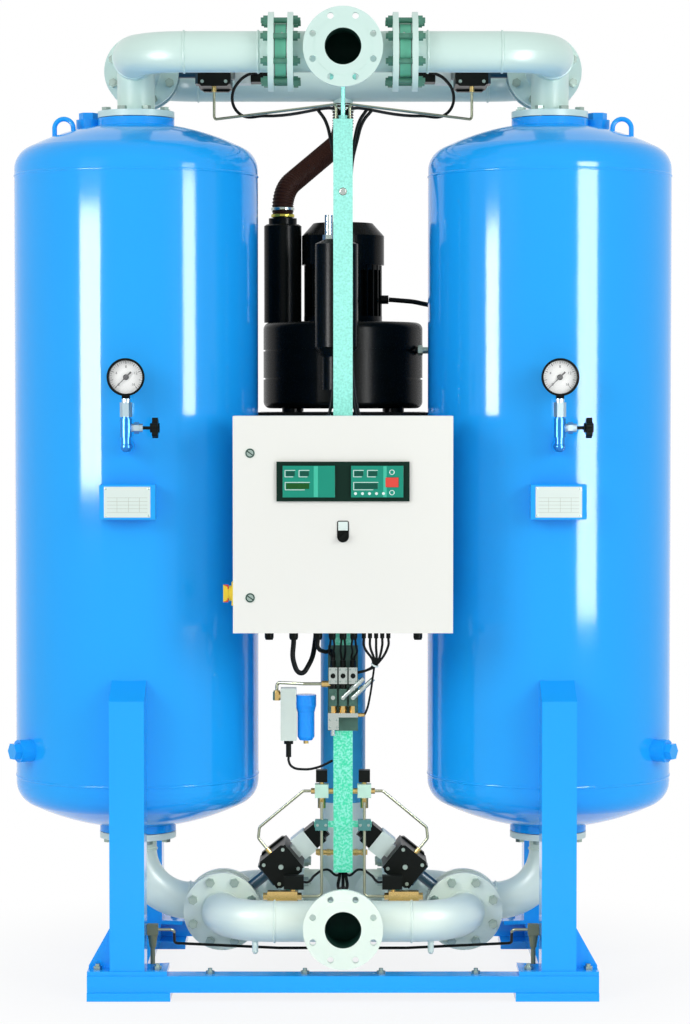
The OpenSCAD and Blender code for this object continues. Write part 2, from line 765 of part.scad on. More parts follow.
module bottom_spool() {
  nozzle_z = bottom_pad_z - gasket_t - bottom_pipe_z;
  translate([0, 0, bottom_pipe_z])
    difference() {
      union() {
        bottom_run(pipe_d, nozzle_d, 0);
        bottom_faces() flange_disc();
        translate([-vessel_x, 0, nozzle_z]) flange_disc(false);
      }
      bottom_run(bore_d, nozzle_bore, 2);
      bottom_faces() hole_ring(flange_hole_d, flange_t + 1);
      translate([-vessel_x, 0, nozzle_z]) hole_ring(flange_hole_d, flange_t + 1);
    }
}

module left_bottom_spool() { color(pipe_grey) bottom_spool(); }

module right_bottom_spool() { color(pipe_grey) mirror([1, 0, 0]) bottom_spool(); }

module lower_regen_manifold() {
  color(pipe_grey)
    translate([0, regen_y, bottom_pipe_z])
      difference() {
        union() {
          translate([-riser_face_x, 0, 0]) along_x() cylinder(d = pipe_d, h = 2 * riser_face_x);
          both_sides() translate([riser_face_x, 0, 0]) along_x() flange_disc();
          translate([0, 0, -80]) cylinder(d = heater_d, h = heater_z - bottom_pipe_z + 80);
        }
        translate([-riser_face_x - 2, 0, 0]) along_x() cylinder(d = bore_d, h = 2 * riser_face_x + 4);
        both_sides() translate([riser_face_x, 0, 0]) along_x() hole_ring(flange_hole_d, flange_t + 1);
        translate([0, 0, -74]) cylinder(d = heater_d - 10, h = heater_z - bottom_pipe_z + 76);
      }
}

module heater_tube() {
  color(azure)
    translate([0, regen_y, 0]) {
      difference() {
        translate([0, 0, heater_z]) cylinder(d = heater_d, h = heater_top - heater_z);
        translate([0, 0, heater_z - 1]) cylinder(d = heater_d - 10, h = heater_top - heater_z - 9);
      }
      translate([0, 0, heater_top - 1]) cylinder(d = heater_d + 40, h = 26);
      translate([0, 0, heater_top + 25]) cylinder(d = heater_d - 20, h = 70);
      translate([0, heater_d / 2 - 4, heater_top - 170]) along_y() cylinder(d = 60, h = 64);
      translate([0, heater_d / 2 + 60, heater_top - 170]) along_y() cylinder(d = 150, h = 90);
    }
}

// Butterfly valves: pipe axis along Y, stem along +Z before it is turned into place

module valve_places() {
  for (place = [0, 1])
    both_sides()
      valve_place(place) children();
}

module valve_place(place) {
  spot = place == 0 ? [-valve_x, -low_valve_y, bottom_pipe_z] : [-vessel_x, top_valve_y, top_pipe_z];
  translate(spot) rotate([0, place == 0 ? low_tilt : 90, 0]) children();
}

module butterfly_body() {
  difference() {
    union() {
      translate([0, -valve_t / 2, 0]) along_y() cylinder(d = wafer_d, h = valve_t);
      cylinder(d = 31, h = stem_reach - 5);
      translate([-35, -35, stem_reach - 10]) cube([70, 70, 10]);
      translate([0, 0, -wafer_d / 2 - 6]) cylinder(d = 34, h = 20);
    }
    translate([0, -valve_t, 0]) along_y() cylinder(d = seat_d, h = 2 * valve_t);
    translate([0, 0, -wafer_d / 2 + 4]) cylinder(d = stem_d + 2 * run_gap, h = stem_reach + wafer_d);
  }
}

module butterfly_valves() { color([0.12, 0.16, 0.22]) valve_places() butterfly_body(); }

module butterfly_disc() {
  difference() {
    union() {
      translate([0, -5, 0]) along_y() cylinder(d = seat_d - 2 * free_gap, h = 10);
      translate([0, 0, -seat_d / 2 + 6]) cylinder(d = stem_d + 10, h = seat_d - 12);
    }
    translate([0, 0, -seat_d / 2]) cylinder(d = stem_d - 4, h = 1);
  }
  translate([0, 0, -wafer_d / 2 + 5]) cylinder(d = stem_d, h = stem_reach + wafer_d / 2 + 30);
}

module left_inlet_disc() { color(steel) valve_place(0) butterfly_disc(); }

module right_inlet_disc() { color(steel) mirror([1, 0, 0]) valve_place(0) butterfly_disc(); }

module left_exhaust_disc() { color(steel) valve_place(1) butterfly_disc(); }

module right_exhaust_disc() { color(steel) mirror([1, 0, 0]) valve_place(1) butterfly_disc(); }

// Actuator with square end caps, five cap screws, and a switch box on a pale bracket
module actuator() {
  half = actuator_s / 2;
  mid = stem_reach + half;
  cap = 26;
  difference() {
    union() {
      translate([-half + 6, -actuator_l / 2, stem_reach + 0.1]) cube([actuator_s - 12, actuator_l, actuator_s]);
      for (y = [-actuator_l / 2, actuator_l / 2 - cap])
        translate([0, y, mid + 0.1])
          along_y()
            intersection() {
              translate([-half, -half, 0]) cube([actuator_s, actuator_s, cap]);
              cylinder(d = actuator_s * 1.26, h = cap);
            }
      for (y = [-1, 1])
        translate([0, y * actuator_l / 2, mid])
          rotate([y * -90, 0, 0])
            for (spot = [[0, 0], [1, 1], [1, -1], [-1, 1], [-1, -1]])
              translate([spot[0] * half * 0.72, spot[1] * half * 0.72, -1])
                cylinder(d = spot == [0, 0] ? 14 : 10, h = spot == [0, 0] ? 10 : 6);
    }
    translate([0, 0, stem_reach - 1]) cylinder(d = stem_d + 2 * run_gap, h = 38);
  }
  translate([0, 0, stem_reach + actuator_s]) {
    translate([-20, -20, 0.3]) cube([40, 40, 13]);
    translate([-34, -34, 12]) cube([68, 68, 46]);
    translate([-30, -36, 58.2]) cube([60, 72, 34]);
    translate([0, 0, 92]) cylinder(d = 52, h = 16);
  }
}

// Where a point of the lower left actuator lies once its stem is tilted
function low_at(x, y, z) = [-valve_x + x * cos(low_tilt) + z * sin(low_tilt), y - low_valve_y,
  bottom_pipe_z - x * sin(low_tilt) + z * cos(low_tilt)];

module valve_actuators() { color(dark) valve_places() actuator(); }

// Blower set on its stand between the vessels

module blower_stand() {
  channel = 60;
  floor_z = stand_z - deck_t - weld_gap - channel;
  color(dark)
    difference() {
      union() {
        for (y = [blower_y - 210, blower_y - 60])
          difference() {
            block([-vessel_x, vessel_x], [y, y + channel], [floor_z, floor_z + channel]);
            block([-vessel_x - 1, vessel_x + 1], [y + 5, y + channel + 1], [floor_z + 5, floor_z + channel - 5]);
          }
        block([-250, 250], [blower_y - 244, blower_y + 244], [floor_z + channel - 1, stand_z]);
      }
      for (x = [-1, 1])
        translate([x * vessel_x, 0, lower_seam_z]) cylinder(r = vessel_r + weld_gap, h = shell_h);
    }
}

module blower_housing() {
  r = drum_d / 2;
  edge = 20;
  color(dark)
    translate([0, blower_y, blower_z]) {
      difference() {
        union() {
          rotate_extrude() {
            square([r - edge, drum_h]);
            translate([0, edge]) square([r, drum_h - 2 * edge]);
            for (z = [edge, drum_h - edge]) translate([r - edge, z]) circle(r = edge);
          }
          for (x = [-1, 1])
            for (y = [-1, 1])
              translate([x * 150, y * 130, 10.8 - edge - 1]) cylinder(d = 60, h = 24);
          translate([r - 26, -100, 172]) along_x() cylinder(d = 20, h = 50);
          translate([r - 16, -100, 172]) along_x() cylinder(d = 30, h = 14, $fn = 6);
        }
        for (z = [86, 170])
          translate([0, 0, z])
            difference() {
              cylinder(r = r + 1, h = 5);
              translate([0, 0, -1]) cylinder(r = r - 5, h = 7);
            }
        translate([0, 0, 100]) cylinder(r = 200, h = 60);
        translate([0, 0, 90]) cylinder(d = 28 + 2 * run_gap, h = drum_h);
      }
    }
}

module blower_motor() {
  fins = 28;
  body_h = motor_h - 110;
  color(dark)
    translate([0, blower_y, motor_z + weld_gap])
      difference() {
        union() {
          cylinder(d = motor_d - 44, h = body_h);
          cylinder(d = motor_d - 6, h = 18);
          translate([0, 0, body_h - 30]) cylinder(d = motor_d - 12, h = 30);
          for (i = [0:fins - 1])
            rotate([0, 0, i * 360 / fins])
              translate([motor_d / 2 - 30, -2.5, 10]) cube([26, 5, motor_h - 136]);
          block([-52, 52], [motor_d / 2 - 40, motor_d / 2 + 34], [40, 130]);
          translate([motor_d / 2 - 20, 0, 69]) along_x() cylinder(d = 26, h = 36);
        }
        translate([0, 0, -1]) cylinder(d = 28 + 2 * run_gap, h = body_h + 2);
      }
}

module fan_cowl() {
  low = motor_h - 124;
  outer = motor_d / 2 + 3;
  wall = 3;
  color(dark)
    translate([0, blower_y, motor_z])
      difference() {
        union() {
          rotate_extrude()
            polygon([[outer - wall, low], [outer, low], [outer, motor_h - 38], [outer - 34, motor_h], [0, motor_h],
              [0, motor_h - wall], [outer - 35, motor_h - wall], [outer - wall, motor_h - 39]]);
          difference() {
            translate([0, 0, low]) cylinder(r = outer - 1, h = 8);
            translate([0, 0, low - 1]) cylinder(d = motor_d - 12 + 2 * weld_gap, h = 10);
          }
        }
        for (ring = [1:3])
          for (i = [0:6 * ring - 1])
            rotate([0, 0, i * 60 / ring])
              translate([ring * 24, 0, motor_h - 5])
                cylinder(d = 14, h = 10);
      }
}

module blower_rotor() {
  fan_z = drum_h + motor_h - 92;
  color(steel)
    translate([0, blower_y, blower_z]) {
      translate([0, 0, 106]) cylinder(r = 194, h = 48);
      translate([0, 0, 102]) cylinder(d = 28, h = fan_z - 62);
      translate([0, 0, fan_z]) cylinder(d = 70, h = 40);
      for (i = [0:6])
        rotate([0, 0, i * 360 / 7])
          translate([30, -2, fan_z]) cube([60, 4, 36]);
    }
}

module blower_silencers() {
  front = 25 - blower_y;
  color(dark)
    translate([0, blower_y, blower_z]) {
      translate([-silencer_x, 0, drum_h + weld_gap]) {
        cylinder(d = silencer_d, h = 288);
        translate([0, 0, 288]) cylinder(d1 = silencer_d, d2 = silencer_d - 14, h = 5);
        translate([0, 0, 293]) cylinder(d = 84, h = 18);
        translate([0, 0, 311]) cylinder(d = hose_d - 6, h = 42);
      }
      difference() {
        translate([-19, front, 0]) {
          translate([0, 0, 178]) cylinder(d = 125, h = 297);
          translate([0, 0, 475]) cylinder(d1 = 125, d2 = 70, h = 14);
          translate([-22, 0, 480]) cylinder(d = 24, h = 79);
          translate([-22, 0, 480]) cylinder(d = 36, h = 22, $fn = 6);
          translate([0, 0, 150]) cylinder(d1 = 84, d2 = 125, h = 28);
          translate([0, 0, 55]) cylinder(d = 84, h = 96);
          translate([0, 0, 100]) along_y() cylinder(d = 70, h = -front);
        }
        cylinder(d = drum_d + 2 * weld_gap, h = drum_h);
      }
    }
}

// Hose from the silencer up to the rear manifold
module hot_air_hose() {
  top = top_pipe_z - 112;
  low = blower_z + drum_h + 314;
  rise = top - low;
  color([0.45, 0.20, 0.12])
    difference() {
      swept([[-silencer_x, blower_y, low], [-silencer_x, blower_y, low + rise * 0.26],
        [0, top_rear_y, top - rise * 0.195], [0, top_rear_y, top + 48]], hose_d, rise * 0.285, 20, 8);
      translate([-silencer_x, blower_y, low - 1]) cylinder(d = hose_d - 6 + 2 * weld_gap, h = 42);
      translate([0, top_rear_y, top]) cylinder(d = 60 + 2 * weld_gap, h = 80);
    }
}

// Centre post with its rails for the cabinet, the saddle under the tee and the tube clamps

module centre_post() {
  front = -post_front - post_s / 2;
  color(zinc) {
    difference() {
      union() {
        block([-post_s / 2, post_s / 2], [front, front + post_s], [post_z, post_top_z]);
        for (z = [cab_z + 70, cab_z + cab_h - 110])
          block([-cab_w / 2 + 60, cab_w / 2 - 60], [front - 11.8, front + 1], [z, z + 40]);
        block([-80, 80], [front - 3, front + 1], [post_z + 128, post_z + 146]);
        block([-42, 42], [front - 3, front + 1], [post_z + 400, post_z + 640]);
      }
      block([-post_s / 2 + 3, post_s / 2 - 3], [front + 3, front + post_s - 3], [post_z - 1, post_top_z - 3]);
      translate([0, front - 1, post_top_z - 202]) along_y() cylinder(d = 22, h = 8);
      for (x = [-12, 12])
        translate([x, -post_front + 6, post_top_z - 10]) cylinder(d = cable_d + 2 * weld_gap, h = 20);
    }
    difference() {
      union() {
        translate([0, -post_front - 16, post_top_z - 8]) cylinder(d = 12, h = 120);
        block([-36, 36], [-post_front - 36, -post_front + 16], [post_top_z + 100, post_top_z + 172]);
        translate([0, -post_front - 16, post_top_z + 0.2]) cylinder(d = 24, h = 10, $fn = 6);
        translate([0, -post_front - 16, post_top_z + 90]) cylinder(d = 24, h = 10.5, $fn = 6);
      }
      translate([-50, -top_front, top_pipe_z]) along_x() cylinder(d = pipe_d + 2 * weld_gap, h = 100);
      translate([0, -top_front - branch_reach, top_pipe_z])
        along_y() cylinder(d = nozzle_d + 2 * free_gap, h = branch_reach);
    }
  }
  color([0.35, 0.50, 0.48])
    for (x = [-60, 60])
      translate([x, front - 3.2, post_z + 137])
        difference() {
          rotate([90, 0, 0]) translate([-18, -15, 0]) cube([36, 30, 24]);
          translate([0, -13, -20]) cylinder(d = 8.6, h = 40);
        }
}

// Pilot air set on the post under the cabinet

module pilot_filter() {
  color(cream)
    translate([-153, pilot_y, filter_z]) {
      block([-22, 22], [-24, 24], [0, 147]);
      translate([0, 0, -11]) cylinder(d = 26, h = 12);
      translate([0, 0, -48]) cylinder(d = 15, h = 38);
    }
  color([0.15, 0.35, 0.75])
    translate([-104, pilot_y, filter_z]) {
      translate([0, 0, -10]) cylinder(d = 14, h = 11);
      cylinder(d1 = 36, d2 = 48, h = 10);
      translate([0, 0, 10]) cylinder(d = 48, h = 68);
      translate([0, 0, 78]) cylinder(d1 = 48, d2 = 58, h = 20);
      translate([0, 0, 98]) cylinder(d = 58, h = 30);
      block([-27.8, 0], [-14, 14], [92, 124]);
    }
  color(brass)
    translate([-186, pilot_y, filter_z + 124]) {
      along_x() cylinder(d = 20, h = 10.9);
      translate([0, 0, -12]) cylinder(d = 22, h = 24, $fn = 6);
      cylinder(d = 18, h = 16);
    }
}

module pilot_manifold() {
  front = -post_front - post_s / 2 - 3.1;
  color(steel) {
    block([-42, 42], [front - 26, front], [post_z + 440, post_z + 452]);
    block([-42, -12], [front - 26, front], [post_z + 405, post_z + 441]);
    translate([-28, front - 14, post_z + 388]) cylinder(d = 14, h = 18);
    for (x = [0, 28])
      translate([x, front - 31, post_z + 496])
        rotate([0, 47, 0]) {
          cylinder(d = 13, h = 78);
          translate([0, 0, 30]) cylinder(d = 18, h = 12, $fn = 6);
        }
    for (x = [-28, 0, 28])
      translate([x, front - 14, 0]) {
        translate([0, 0, post_z + 451]) cylinder(d = 20, h = 22, $fn = 6);
        block([-11, 11], [-13, 13], [post_z + 472, post_z + 520]);
        translate([0, 0, post_z + 519]) cylinder(d = 18, h = 16);
        block([-12, 12], [-13.5, 13.5], [post_z + 534, post_z + 580]);
        translate([0, -13, post_z + 496]) rotate([90, 0, 0]) cylinder(d = 12, h = 8);
        translate([0, -13.5, post_z + 557]) rotate([90, 0, 0]) cylinder(d = 14, h = 7);
        translate([0, 0, post_z + 579]) cylinder(d = 16, h = 20, $fn = 6);
      }
    translate([-60, front - 14, filter_tube_z]) along_x() cylinder(d = 18, h = 26, $fn = 6);
    translate([41, front - 13, post_z + 446]) along_x() cylinder(d = 11, h = 19, $fn = 6);
  }
}

// Post valve: pale body, coil on top, ports below and to the side
module pilot_valve() {
  block([-19, 19], [-17, 17], [0, 38]);
  translate([0, 0, 37]) cylinder(d = 14, h = 8);
  block([-16, 16], [-16, 16], [44, 78]);
  translate([0, 0, -30]) cylinder(d = 22, h = 30.5, $fn = 6);
  translate([-30, 0, 18]) along_x() cylinder(d = 16, h = 12, $fn = 6);
  translate([18, 0, 18]) along_x() cylinder(d = 16, h = 14.8);
}

// Pressure valve lying along the inlet pipe, with its coil to one side
module pipe_valve() {
  block([-42, 42], [-14, 14], [0, 30]);
  translate([30, 0, 29]) cylinder(d = 14, h = 8);
  block([4, 60], [-16, 16], [36, 74]);
  translate([-54, 0, 15]) along_x() cylinder(d = 20, h = 13, $fn = 6);
  translate([41, 0, 15]) along_x() cylinder(d = 20, h = 13, $fn = 6);
  translate([0, 0, -40]) cylinder(d = 18, h = 41);
}

module drain_trap() {
  translate([0, 0, plate_top_z + 0.2]) cylinder(d = 13, h = 50);
  translate([0, 0, plate_top_z + 47]) cylinder(d1 = 18, d2 = 28, h = 36);
  block([-15, 15], [-15, 15], [plate_top_z + 82, plate_top_z + 111]);
}

valve_y = -post_front - post_s / 2 + 24;
pipe_valve_y = -inlet_y + 50;
pipe_valve_z = bottom_pipe_z + 47;
trap_x = -leg_x + leg_w / 2 + 16;
pilot_y = -post_front - 2;
filter_z = post_z + 371;
filter_tube_z = post_z + 533;

module pilot_valves() {
  mid = stem_reach + actuator_s / 2;
  port = actuator_s / 2 + 16;
  color(brass)
    both_sides() {
      translate([-post_s / 2 - 33, valve_y, post_z + 209]) pilot_valve();
      difference() {
        translate([-170, pipe_valve_y, pipe_valve_z]) pipe_valve();
        translate([-250, -inlet_y, bottom_pipe_z]) along_x() cylinder(d = pipe_d + 2 * weld_gap, h = 160);
      }
      translate([trap_x, -vessel_r + 1, 0]) drain_trap();
      valve_place(0) translate([-port, 13 - actuator_l / 2, mid]) along_x() cylinder(d = 14, h = 15.8);
      valve_place(1) translate([actuator_s / 2 + 0.2, 13 - actuator_l / 2, mid]) along_x() cylinder(d = 14, h = 15.8);
    }
}

module pilot_tubes() {
  front = -post_front - post_s / 2;
  mid = stem_reach + actuator_s / 2;
  port = actuator_s / 2 + 16.2;
  x = -post_s / 2 - 33;
  far_x = -vessel_x + mid;
  far_y = top_valve_y + 13 - actuator_l / 2;
  color(steel)
    both_sides() {
      swept([[x - 30.2, valve_y, post_z + 227], [x - 52, valve_y, post_z + 227],
        low_at(-port - 60, 13 - actuator_l / 2, mid + 22), low_at(-port - 38, 13 - actuator_l / 2, mid),
        low_at(-port, 13 - actuator_l / 2, mid)], 8, 12);
      swept([[-60, front - 16.2, post_z + 200], [-60, front - 16.2, pipe_valve_z + 15], [-80, pipe_valve_y, pipe_valve_z + 15],
        [-115.8, pipe_valve_y, pipe_valve_z + 15]], 8, 12);
      swept([[trap_x + 15.2, -vessel_r + 1, plate_top_z + 96], [trap_x + 60, -vessel_r + 1, plate_top_z + 96],
        [-valve_x - 130, -300, 130], [-180, -255, 108], [-45, -255, 108]], 8, 24);
      swept([[far_x, far_y, top_pipe_z - port], [far_x, far_y, post_top_z + 42], [-19, -post_front - 6, post_top_z + 42],
        [-19, -post_front - 6, post_top_z + 0.3]], 8, 12);
    }
  color(steel)
    swept([[-186, pilot_y, filter_z + 140.2], [-186, pilot_y, filter_tube_z], [-110, front - 14, filter_tube_z],
      [-60.2, front - 14, filter_tube_z]], 9, 11);
}

module control_cables() {
  front = -post_front - post_s / 2;
  gland_y = cab_back_y - 55;
  box_x = -vessel_x + stem_reach + actuator_s + 75;
  color(dark) {
    swept([[-137, gland_y, cab_z - 30], [-137, gland_y, cab_z - 106], [-118, gland_y + 12, cab_z - 126],
      [-94, gland_y + 36, cab_z - 104], [-76, cab_back_y + 30, cab_z - 40], [-76, cab_back_y + 30, cab_z + 330],
      [0, 40, heater_top + 12], [0, regen_y - heater_d / 2 - 20.2, heater_top + 12]], 14, 18);
    swept([[-70, gland_y, cab_z - 30], [-70, gland_y, cab_z - 66], [-28, front - 17, post_z + 628],
      [-28, front - 17, post_z + 599.3]], 12, 12);
    for (i = [0:4])
      swept([[58 + 17 * i, gland_y, cab_z - 26], [58 + 17 * i, gland_y, cab_z - 46],
        [85 + 3 * i, gland_y + 14, cab_z - 104], [62 + i, front - 29 + 3 * i, post_z + 571],
        [41.4, front - 25 + 4 * i, post_z + 565]], 7, 12, 8, 4);
    both_sides() {
      swept([[-12, -post_front + 6, post_top_z - 20], [-12, -post_front + 6, post_top_z + 30],
        [-232, top_valve_y - 150, post_top_z + 46], [-306, top_valve_y - 86, post_top_z + 60],
        [-326, top_valve_y - 74, post_top_z + 108], [-300, top_valve_y - 70, top_pipe_z - 26],
        [box_x, top_valve_y - 66, top_pipe_z - 6], [box_x, top_valve_y - 36.2, top_pipe_z - 6]], cable_d, 16);
      swept([[-12, front + 34, post_z + 20], [-12, front + 34, post_z - 16], [-70, front + 20, post_z + 6],
        [-98, pipe_valve_y, pipe_valve_z + 55], [-109.8, pipe_valve_y, pipe_valve_z + 55]], 7, 7);
    }
    swept([[motor_d / 2 + 16.8, blower_y, motor_z + 69], [230, blower_y, motor_z + 60], [270, blower_y + 20, motor_z + 54],
      [300, blower_y + 70, motor_z - 60], [290, blower_y + 90, stand_z - 110], [60, 60, stand_z - 130],
      [70, cab_back_y + 40, cab_z + 470], [70, cab_back_y + 0.4, cab_z + 470]], 14, 22);
    swept([[-153, pilot_y, filter_z - 48], [-153, pilot_y, filter_z - 74], [-112, pilot_y, filter_z - 84],
      [-62, pilot_y, filter_z - 76], [-post_s / 2 - 1.7, pilot_y, filter_z - 58]], 7, 16);
  }
}

// Control cabinet

module cabinet_box() {
  w = cab_w / 2;
  lip = 15;
  color(cream) {
    difference() {
      block([-w, w], [cab_body_y, cab_back_y], [cab_z, cab_z + cab_h]);
      block([-w + sheet, w - sheet], [cab_body_y + sheet, cab_back_y - sheet], [cab_z + sheet, cab_z + cab_h - sheet]);
      block([-w + lip, w - lip], [cab_body_y - 1, cab_body_y + 3], [cab_z + lip, cab_z + cab_h - lip]);
    }
    for (z = [cab_z + 90, cab_z + cab_h - 120]) {
      block([hinge_x - 4, hinge_x + 4], [hinge_y - 4, cab_body_y + 0.5], [z, z + 8]);
      translate([hinge_x, hinge_y, z]) cylinder(d = 5, h = 40);
    }
  }
}

module cabinet_door() {
  w = cab_w / 2;
  back = cab_front_y + door_t;
  color(cream)
    difference() {
      union() {
        difference() {
          block([-w, w], [cab_front_y, back], [cab_z, cab_z + cab_h]);
          block([-w + sheet, w - sheet], [cab_front_y + sheet, back + 1], [cab_z + sheet, cab_z + cab_h - sheet]);
        }
        for (z = [cab_z + 98.5, cab_z + cab_h - 111.5]) {
          translate([hinge_x, hinge_y, z]) cylinder(d = 8, h = 28);
          block([hinge_x - 4, hinge_x + 4], [cab_front_y + 1, hinge_y], [z, z + 28]);
        }
      }
      for (z = [cab_z + 90, cab_z + cab_h - 120]) {
        translate([hinge_x, hinge_y, z]) cylinder(d = 5 + 2 * run_gap, h = 50);
        block([w - sheet - 1, w + 1], [cab_front_y + sheet + 1, back + 1], [z - 3, z + 8.5]);
      }
      for (z = [low_lock_z, high_lock_z])
        translate([lock_x, cab_front_y - 1, z]) along_y() cylinder(d = 20 + 2 * run_gap, h = 8);
      for (x = [-module_x - 32, module_x + 32])
        block([x - 56, x + 56], [cab_front_y - 1, cab_front_y + 5], [bezel_z - 34, bezel_z + 34]);
      translate([0, cab_front_y - 1, selector_z]) along_y() cylinder(d = 22, h = 8);
    }
}

module door_lock(z) {
  translate([lock_x, cab_front_y, z]) {
    difference() {
      translate([0, -3, 0]) along_y() cylinder(d = 26, h = 2.8);
      rotate([0, 35, 0]) translate([-9, -4, -1.5]) cube([18, 3, 3]);
    }
    translate([0, -1, 0]) along_y() cylinder(d = 20, h = door_t + door_gap + 8);
    translate([-8, door_t + door_gap + 6, -40]) cube([16, 3, 50]);
  }
}

module upper_lock() { color(zinc) door_lock(high_lock_z); }

module lower_lock() { color(zinc) door_lock(low_lock_z); }

module display_panel() {
  front = cab_front_y - 8.2;
  color(dark)
    difference() {
      union() {
        block([-bezel_w / 2, bezel_w / 2], [front, front + 8], [bezel_z - bezel_h / 2, bezel_z + bezel_h / 2]);
        for (x = [-1, 1]) {
          mid = x * (module_x + 32);
          block([mid - module_w / 2, mid + module_w / 2], [front - 6, front + 1],
            [bezel_z - module_h / 2, bezel_z + module_h / 2]);
          block([mid - 55, mid + 55], [front + 7, front + 58], [bezel_z - 33, bezel_z + 33]);
        }
      }
      block([module_x + key_x - 6 - key_w / 2 - free_gap, module_x + key_x - 6 + key_w / 2 + free_gap],
        [front - 10, front + 2], [key_z - key_h / 2 - free_gap, key_z + key_h / 2 + free_gap]);
    }
  color(dark)
    translate([0, cab_front_y, selector_z]) {
      difference() {
        union() {
          block([-16, 16], [-2.2, -0.2], [-17, 43]);
          translate([0, -6, 0]) along_y() cylinder(d = 30, h = 5.9);
          translate([0, -1, 0]) along_y() cylinder(d = 21.6, h = 44);
        }
        translate([0, -7, 0]) along_y() cylinder(d = 20 + 2 * run_gap, h = 20);
      }
    }
}

module stop_key() {
  front = cab_front_y - 8.2;
  color([0.75, 0.10, 0.10])
    block([module_x + key_x - 6 - key_w / 2, module_x + key_x - 6 + key_w / 2],
      [front - 8, front - 0.5], [key_z - key_h / 2, key_z + key_h / 2]);
}

module selector_knob() {
  color(dark)
    translate([0, cab_front_y, selector_z]) {
      translate([0, -10, 0]) along_y() cylinder(d = 20, h = 22);
      rotate([0, 45, 0]) translate([-4, -22, -13]) cube([8, 14, 26]);
    }
}

module control_gear() {
  plate_y = cab_back_y - sheet - 12;
  color(zinc) {
    block([-cab_w / 2 + 45, cab_w / 2 - 45], [plate_y, plate_y + 2.5], [cab_z + 35, cab_z + cab_h - 35]);
    for (x = [-1, 1])
      for (z = [cab_z + 60, cab_z + cab_h - 60])
        translate([x * (cab_w / 2 - 70), plate_y + 2, z]) along_y() cylinder(d = 12, h = 9.9);
    for (z = [cab_z + 110, cab_z + 260, cab_z + 410])
      block([-220, 220], [plate_y - 8, plate_y + 0.5], [z, z + 35]);
    for (i = [0:17])
      block([-200 + i * 22, -180 + i * 22], [plate_y - 50, plate_y - 7.9], [cab_z + 100, cab_z + 155]);
    for (i = [0:5])
      block([-200 + i * 50, -154 + i * 50], [plate_y - 72, plate_y - 7.9], [cab_z + 238, cab_z + 318]);
    for (i = [0:3])
      block([-200 + i * 58, -146 + i * 58], [plate_y - 60, plate_y - 7.9], [cab_z + 385, cab_z + 475]);
    block([60, 200], [plate_y - 80, plate_y - 7.9], [cab_z + 380, cab_z + 480]);
  }
}

module main_switch_plate() {
  color([0.90, 0.75, 0.15])
    translate([-cab_w / 2, cab_front_y + 95, cab_z + 103])
      difference() {
        union() {
          block([-6, -0.1], [-32, 32], [-32, 32]);
          translate([-14, 0, 0]) along_x() cylinder(d = 42, h = 9);
        }
        translate([-15, 0, 0]) along_x() cylinder(d = 20 + 2 * run_gap, h = 12);
      }
}

module main_switch_handle() {
  color([0.70, 0.10, 0.10])
    translate([-cab_w / 2, cab_front_y + 95, cab_z + 103]) {
      translate([-18, 0, 0]) along_x() cylinder(d = 20, h = 14);
      translate([-18, 0, 0]) along_x() cylinder(d = 38, h = 3.4);
      block([-30, -16], [-7, 7], [-24, 24]);
    }
}

module gland(d) {
  translate([0, 0, -10]) cylinder(d = d * 1.5, h = 9.9, $fn = 6);
  translate([0, 0, -24]) cylinder(d = d * 1.25, h = 14.5);
  translate([0, 0, -30]) cylinder(d1 = d * 1.02, d2 = d * 1.25, h = 6.5);
}

module cable_glands() {
  gland_y = cab_back_y - 55;
  color(dark) {
    for (x = [-205, -137, -70])
      translate([x, gland_y, cab_z]) gland(20);
    for (x = [-30, 0, 30])
      translate([x, gland_y, cab_z]) gland(16);
    for (i = [0:4])
      translate([58 + 17 * i, gland_y, cab_z]) {
        translate([0, 0, -8]) cylinder(d = 15, h = 7.9, $fn = 6);
        translate([0, 0, -26]) cylinder(d = 12, h = 18.5);
      }
    translate([208, gland_y, cab_z]) gland(20);
  }
}

// Pressure gauges, each on a valve with a handwheel

module gauge_place() { translate([-vessel_x, gauge_y, gauge_z]) children(); }

module gauge_cases() {
  color(dark)
    for (x = [-1, 1])
      translate([x * vessel_x, gauge_y, gauge_z]) {
        difference() {
          union() {
            translate([0, -14, 0]) along_y() cylinder(d = gauge_d, h = 38);
            translate([0, -18, 0]) along_y() cylinder(d = gauge_d + 4, h = 8);
            translate([-11, -11, -gauge_d / 2 - 9]) cube([22, 22, 30]);
          }
          translate([0, -19, 0]) along_y() cylinder(d = gauge_d - 8, h = 21);
        }
        difference() {
          translate([0, -1, 0]) along_y() cylinder(d = 16, h = 4);
          translate([0, -2, 0]) along_y() cylinder(d = 5 + 2 * run_gap, h = 4);
        }
      }
}

module gauge_lenses() {
  color([0.9, 0.95, 0.95])
    for (x = [-1, 1])
      translate([x * vessel_x, gauge_y - 16, gauge_z]) along_y() cylinder(d = gauge_d - 8.4, h = 3);
}

module needle() {
  translate([0, -7, 0]) along_y() cylinder(d = 12, h = 2.5);
  translate([0, -7, 0]) along_y() cylinder(d = 5, h = 7.8);
  translate([0, -4.8, 0])
    rotate([90, 0, 0])
      linear_extrude(1.2)
        polygon([[-2.4, 20], [2.4, 20], [1.6, 0], [0.6, -gauge_d * 0.4], [-0.6, -gauge_d * 0.4], [-1.6, 0]]);
}

module left_needle() { color(dark) translate([-vessel_x, gauge_y, gauge_z]) rotate([0, 45, 0]) needle(); }

module right_needle() { color(dark) translate([vessel_x, gauge_y, gauge_z]) rotate([0, 45, 0]) needle(); }

